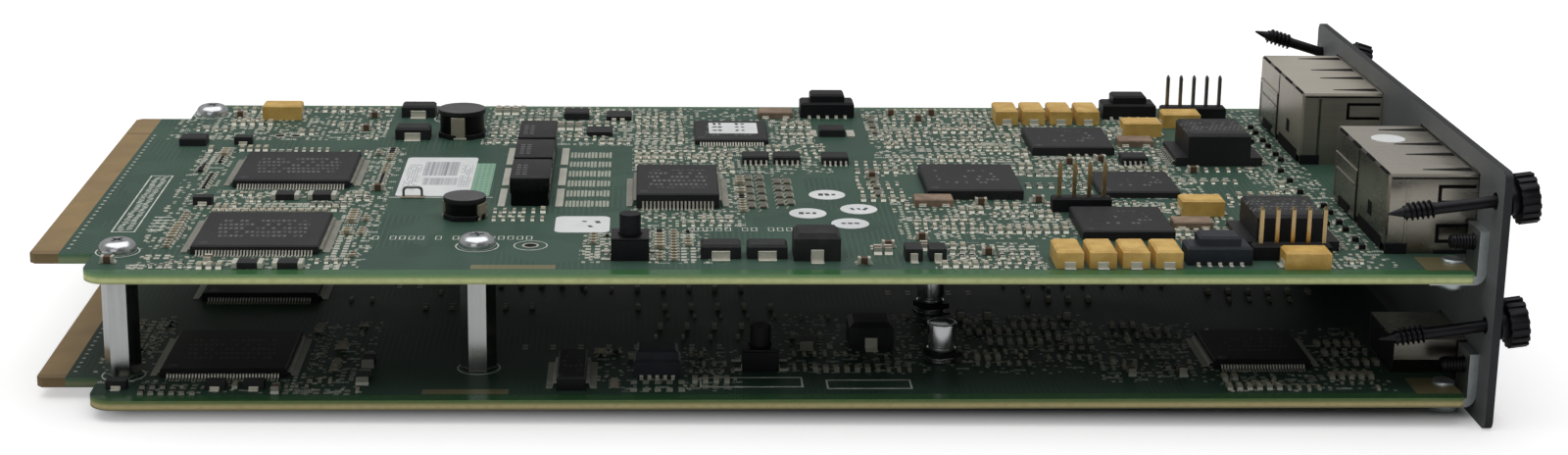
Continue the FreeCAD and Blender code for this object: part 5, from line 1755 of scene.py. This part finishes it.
def portContacts(node):
    low, high = boxOf(node)
    middle = (low.y + high.y) / 2
    roof = jack["portRoof"]
    wire = startBlock("portContact", (-11.2, -0.19, roof - 4.6), (-10.7, 0.19, roof - 4.2))
    pick(wire, "FACE", lambda c, n: n.x > 0.9)
    extrude(x=6.6, z=3.6)
    extrude(x=1.2, z=0.55)
    leave()
    wear(wire, "gilt")
    wires = []
    for port in (-1, 1):
        for i in range(jack["contacts"]):
            slip = (i - (jack["contacts"] - 1) / 2) * jack["contactPitch"]
            wires.append(copyOf(wire, (0, middle + port * jack["portPitch"] / 2 + slip, tiers["upper"])))
    discard(wire)
    return gather(pieceName(node, "Contacts"), wires)


for side in ("near", "far"):
    settle(jackTrim(side + "_jack_shield"))
    settle(portContacts(side + "_jack_insert"))
print("jack trims done")


# pin ends and solder cones under both boards
coneFacts = {"radius": 0.75, "height": 0.75, "tip": 0.42, "pin": 0.5, "jackPins": 16, "jackRow": -8.6,
             "jackStagger": 2.4, "jackMargin": 1.4, "socketRows": (-9.8, -4.2), "socketMargin": 0.6,
             "socketShare": 1.3}


def solderCone():
    cone = startRound("solderCone", coneFacts["radius"], -coneFacts["height"], 0.0, 12)
    pickFoot(cone)
    resize(coneFacts["tip"], coneFacts["tip"], 1.0, (0, 0, -coneFacts["height"]))
    extrude(z=-coneFacts["pin"])
    leave()
    wear(cone, "solder")
    return cone


cone = solderCone()
cones = []
for low, high in (boxOf("near_jack_shield"), boxOf("far_jack_shield")):
    margin, count = coneFacts["jackMargin"], coneFacts["jackPins"]
    for i in range(count):
        x = coneFacts["jackRow"] - coneFacts["jackStagger"] * (i % 2)
        y = low.y + margin + i * (high.y - low.y - 2 * margin) / (count - 1)
        cones.append(copyOf(cone, (x, y, upperLow.z)))
for low, high in solidBoxes("header_pins"):
    cones.append(copyOf(cone, ((low.x + high.x) / 2, (low.y + high.y) / 2, upperLow.z)))
for low, high in (boxOf("near_socket_shell"), boxOf("far_socket_shell")):
    margin, share = coneFacts["socketMargin"], coneFacts["socketShare"]
    for x in coneFacts["socketRows"]:
        for y in (low.y + margin, high.y - margin):
            cones.append(copyOf(cone, (x, y, lowerLow.z), 0, (share, share, 1)))
discard(cone)
settle(gather("solderCones", cones))
print("underside done")


# floor, light and camera
floorFacts = {
    "size": 6.0, "tilt": 0.42, "white": (0.80, 0.80, 0.80), "lift": 0.48,
    "underLeft": (-224, -214), "underRight": (-2, 6), "underSides": (50, 60),  # where the own shade fades, mm
}


def floorPaper(pen, shader, tree):
    place = pen.node("ShaderNodeTexCoord", {}, {}, "Object")
    cloud = place.grain(14, 3)
    tone = pen.mix(cloud, shaded(floorFacts["white"], 0.985), floorFacts["white"])
    tree.links.new(tone.socket, shader.inputs["Base Color"])
    shader.inputs["Roughness"].default_value = 0.9
    shader.inputs["Specular IOR Level"].default_value = 0.0
    x, y, z = place.axesInMm()
    under = x.ease(*floorFacts["underLeft"]) * (1 - x.ease(*floorFacts["underRight"]))
    under = under * (1 - y.size().ease(*floorFacts["underSides"]))
    seen = pen.ray("Is Camera Ray").most(pen.ray("Is Transmission Ray"))
    plain = Wire(tree, shader.outputs[0])
    glow = pen.node("ShaderNodeEmission", {}, {"Color": (1, 1, 1), "Strength": seen * floorFacts["lift"]})
    both = pen.node("ShaderNodeAddShader", {}, {0: plain, 1: glow})
    made = pen.node("ShaderNodeMixShader", {}, {0: under, 1: both, 2: plain})  # own shade below the card
    tree.links.new(made.socket, tree.nodes["Material Output"].inputs["Surface"])


alone()
bpy.ops.mesh.primitive_plane_add(size=floorFacts["size"], location=(0, 0, 0))
floor = bpy.context.object
floor.name = "studioFloor"
floor.rotation_euler = (0, math.radians(floorFacts["tilt"]), 0)
floorLook = bpy.data.materials.new("floorPaper")
floorLook.use_nodes = True
floorPaper(Wire(floorLook.node_tree), floorLook.node_tree.nodes["Principled BSDF"], floorLook.node_tree)
floor.data.materials.append(floorLook)

lamps = {  # place, aim, size in metres and power
    "topSoftbox": ((-0.16, 0.05, 0.95), (-0.11, 0.0, 0.03), 1.5, 9.0),
    "frontFill": ((-0.45, -0.95, 0.42), (-0.11, 0.0, 0.03), 0.6, 0.7),
}
for name, (spot, aim, size, power) in lamps.items():
    lamp = bpy.data.lights.new(name, "AREA")
    lamp.size = size
    lamp.energy = power
    holder = bpy.data.objects.new(name, lamp)
    holder.location = spot
    holder.rotation_mode = "QUATERNION"
    holder.rotation_quaternion = (Vector(aim) - Vector(spot)).to_track_quat("-Z", "Y")
    bpy.context.scene.collection.objects.link(holder)

skyLevels = {"seen": 1.0, "mirrored": 0.34, "light": 0.30, "frontDrop": 0.62}
world = bpy.data.worlds.new("studioSky")
bpy.context.scene.world = world
world.use_nodes = True
sky = Wire(world.node_tree)
seen = sky.ray("Is Camera Ray").most(sky.ray("Is Transmission Ray"))
ahead = sky.node("ShaderNodeTexCoord", {}, {}, "Generated").axes()[1]
front = 1 - (0 - ahead).ease(0.1, 0.8) * skyLevels["frontDrop"]  # the room is darker behind the camera
level = (sky.ray("Is Glossy Ray") * (skyLevels["mirrored"] - skyLevels["light"]) + skyLevels["light"]) * front
level = level * (1 - seen) + seen * skyLevels["seen"]
world.node_tree.links.new(level.socket, world.node_tree.nodes["Background"].inputs["Strength"])
world.node_tree.nodes["Background"].inputs["Color"].default_value = (1, 1, 1, 1)

view = {
    "spot": (-0.132864, -0.450405, 0.144080), "lens": 60.63, "shift": -0.0369,
    "right": (0.99870641, -0.04864873, 0.01479206), "up": (-0.00210976, 0.25101202, 0.96798167),
    "ahead": (0.05080406, 0.96676071, -0.25058467),
}
eye = bpy.data.cameras.new("photoCamera")
eye.lens = view["lens"]
eye.sensor_width = 36.0
eye.shift_y = view["shift"]
eye.clip_start = 0.01
camera = bpy.data.objects.new("photoCamera", eye)
turned = Matrix((view["right"], view["up"], [-c for c in view["ahead"]])).transposed()
camera.matrix_world = Matrix.Translation(view["spot"]) @ turned.to_4x4()
bpy.context.scene.collection.objects.link(camera)
bpy.context.scene.camera = camera
bpy.context.scene.view_settings.view_transform = "Standard"
print("stage done")
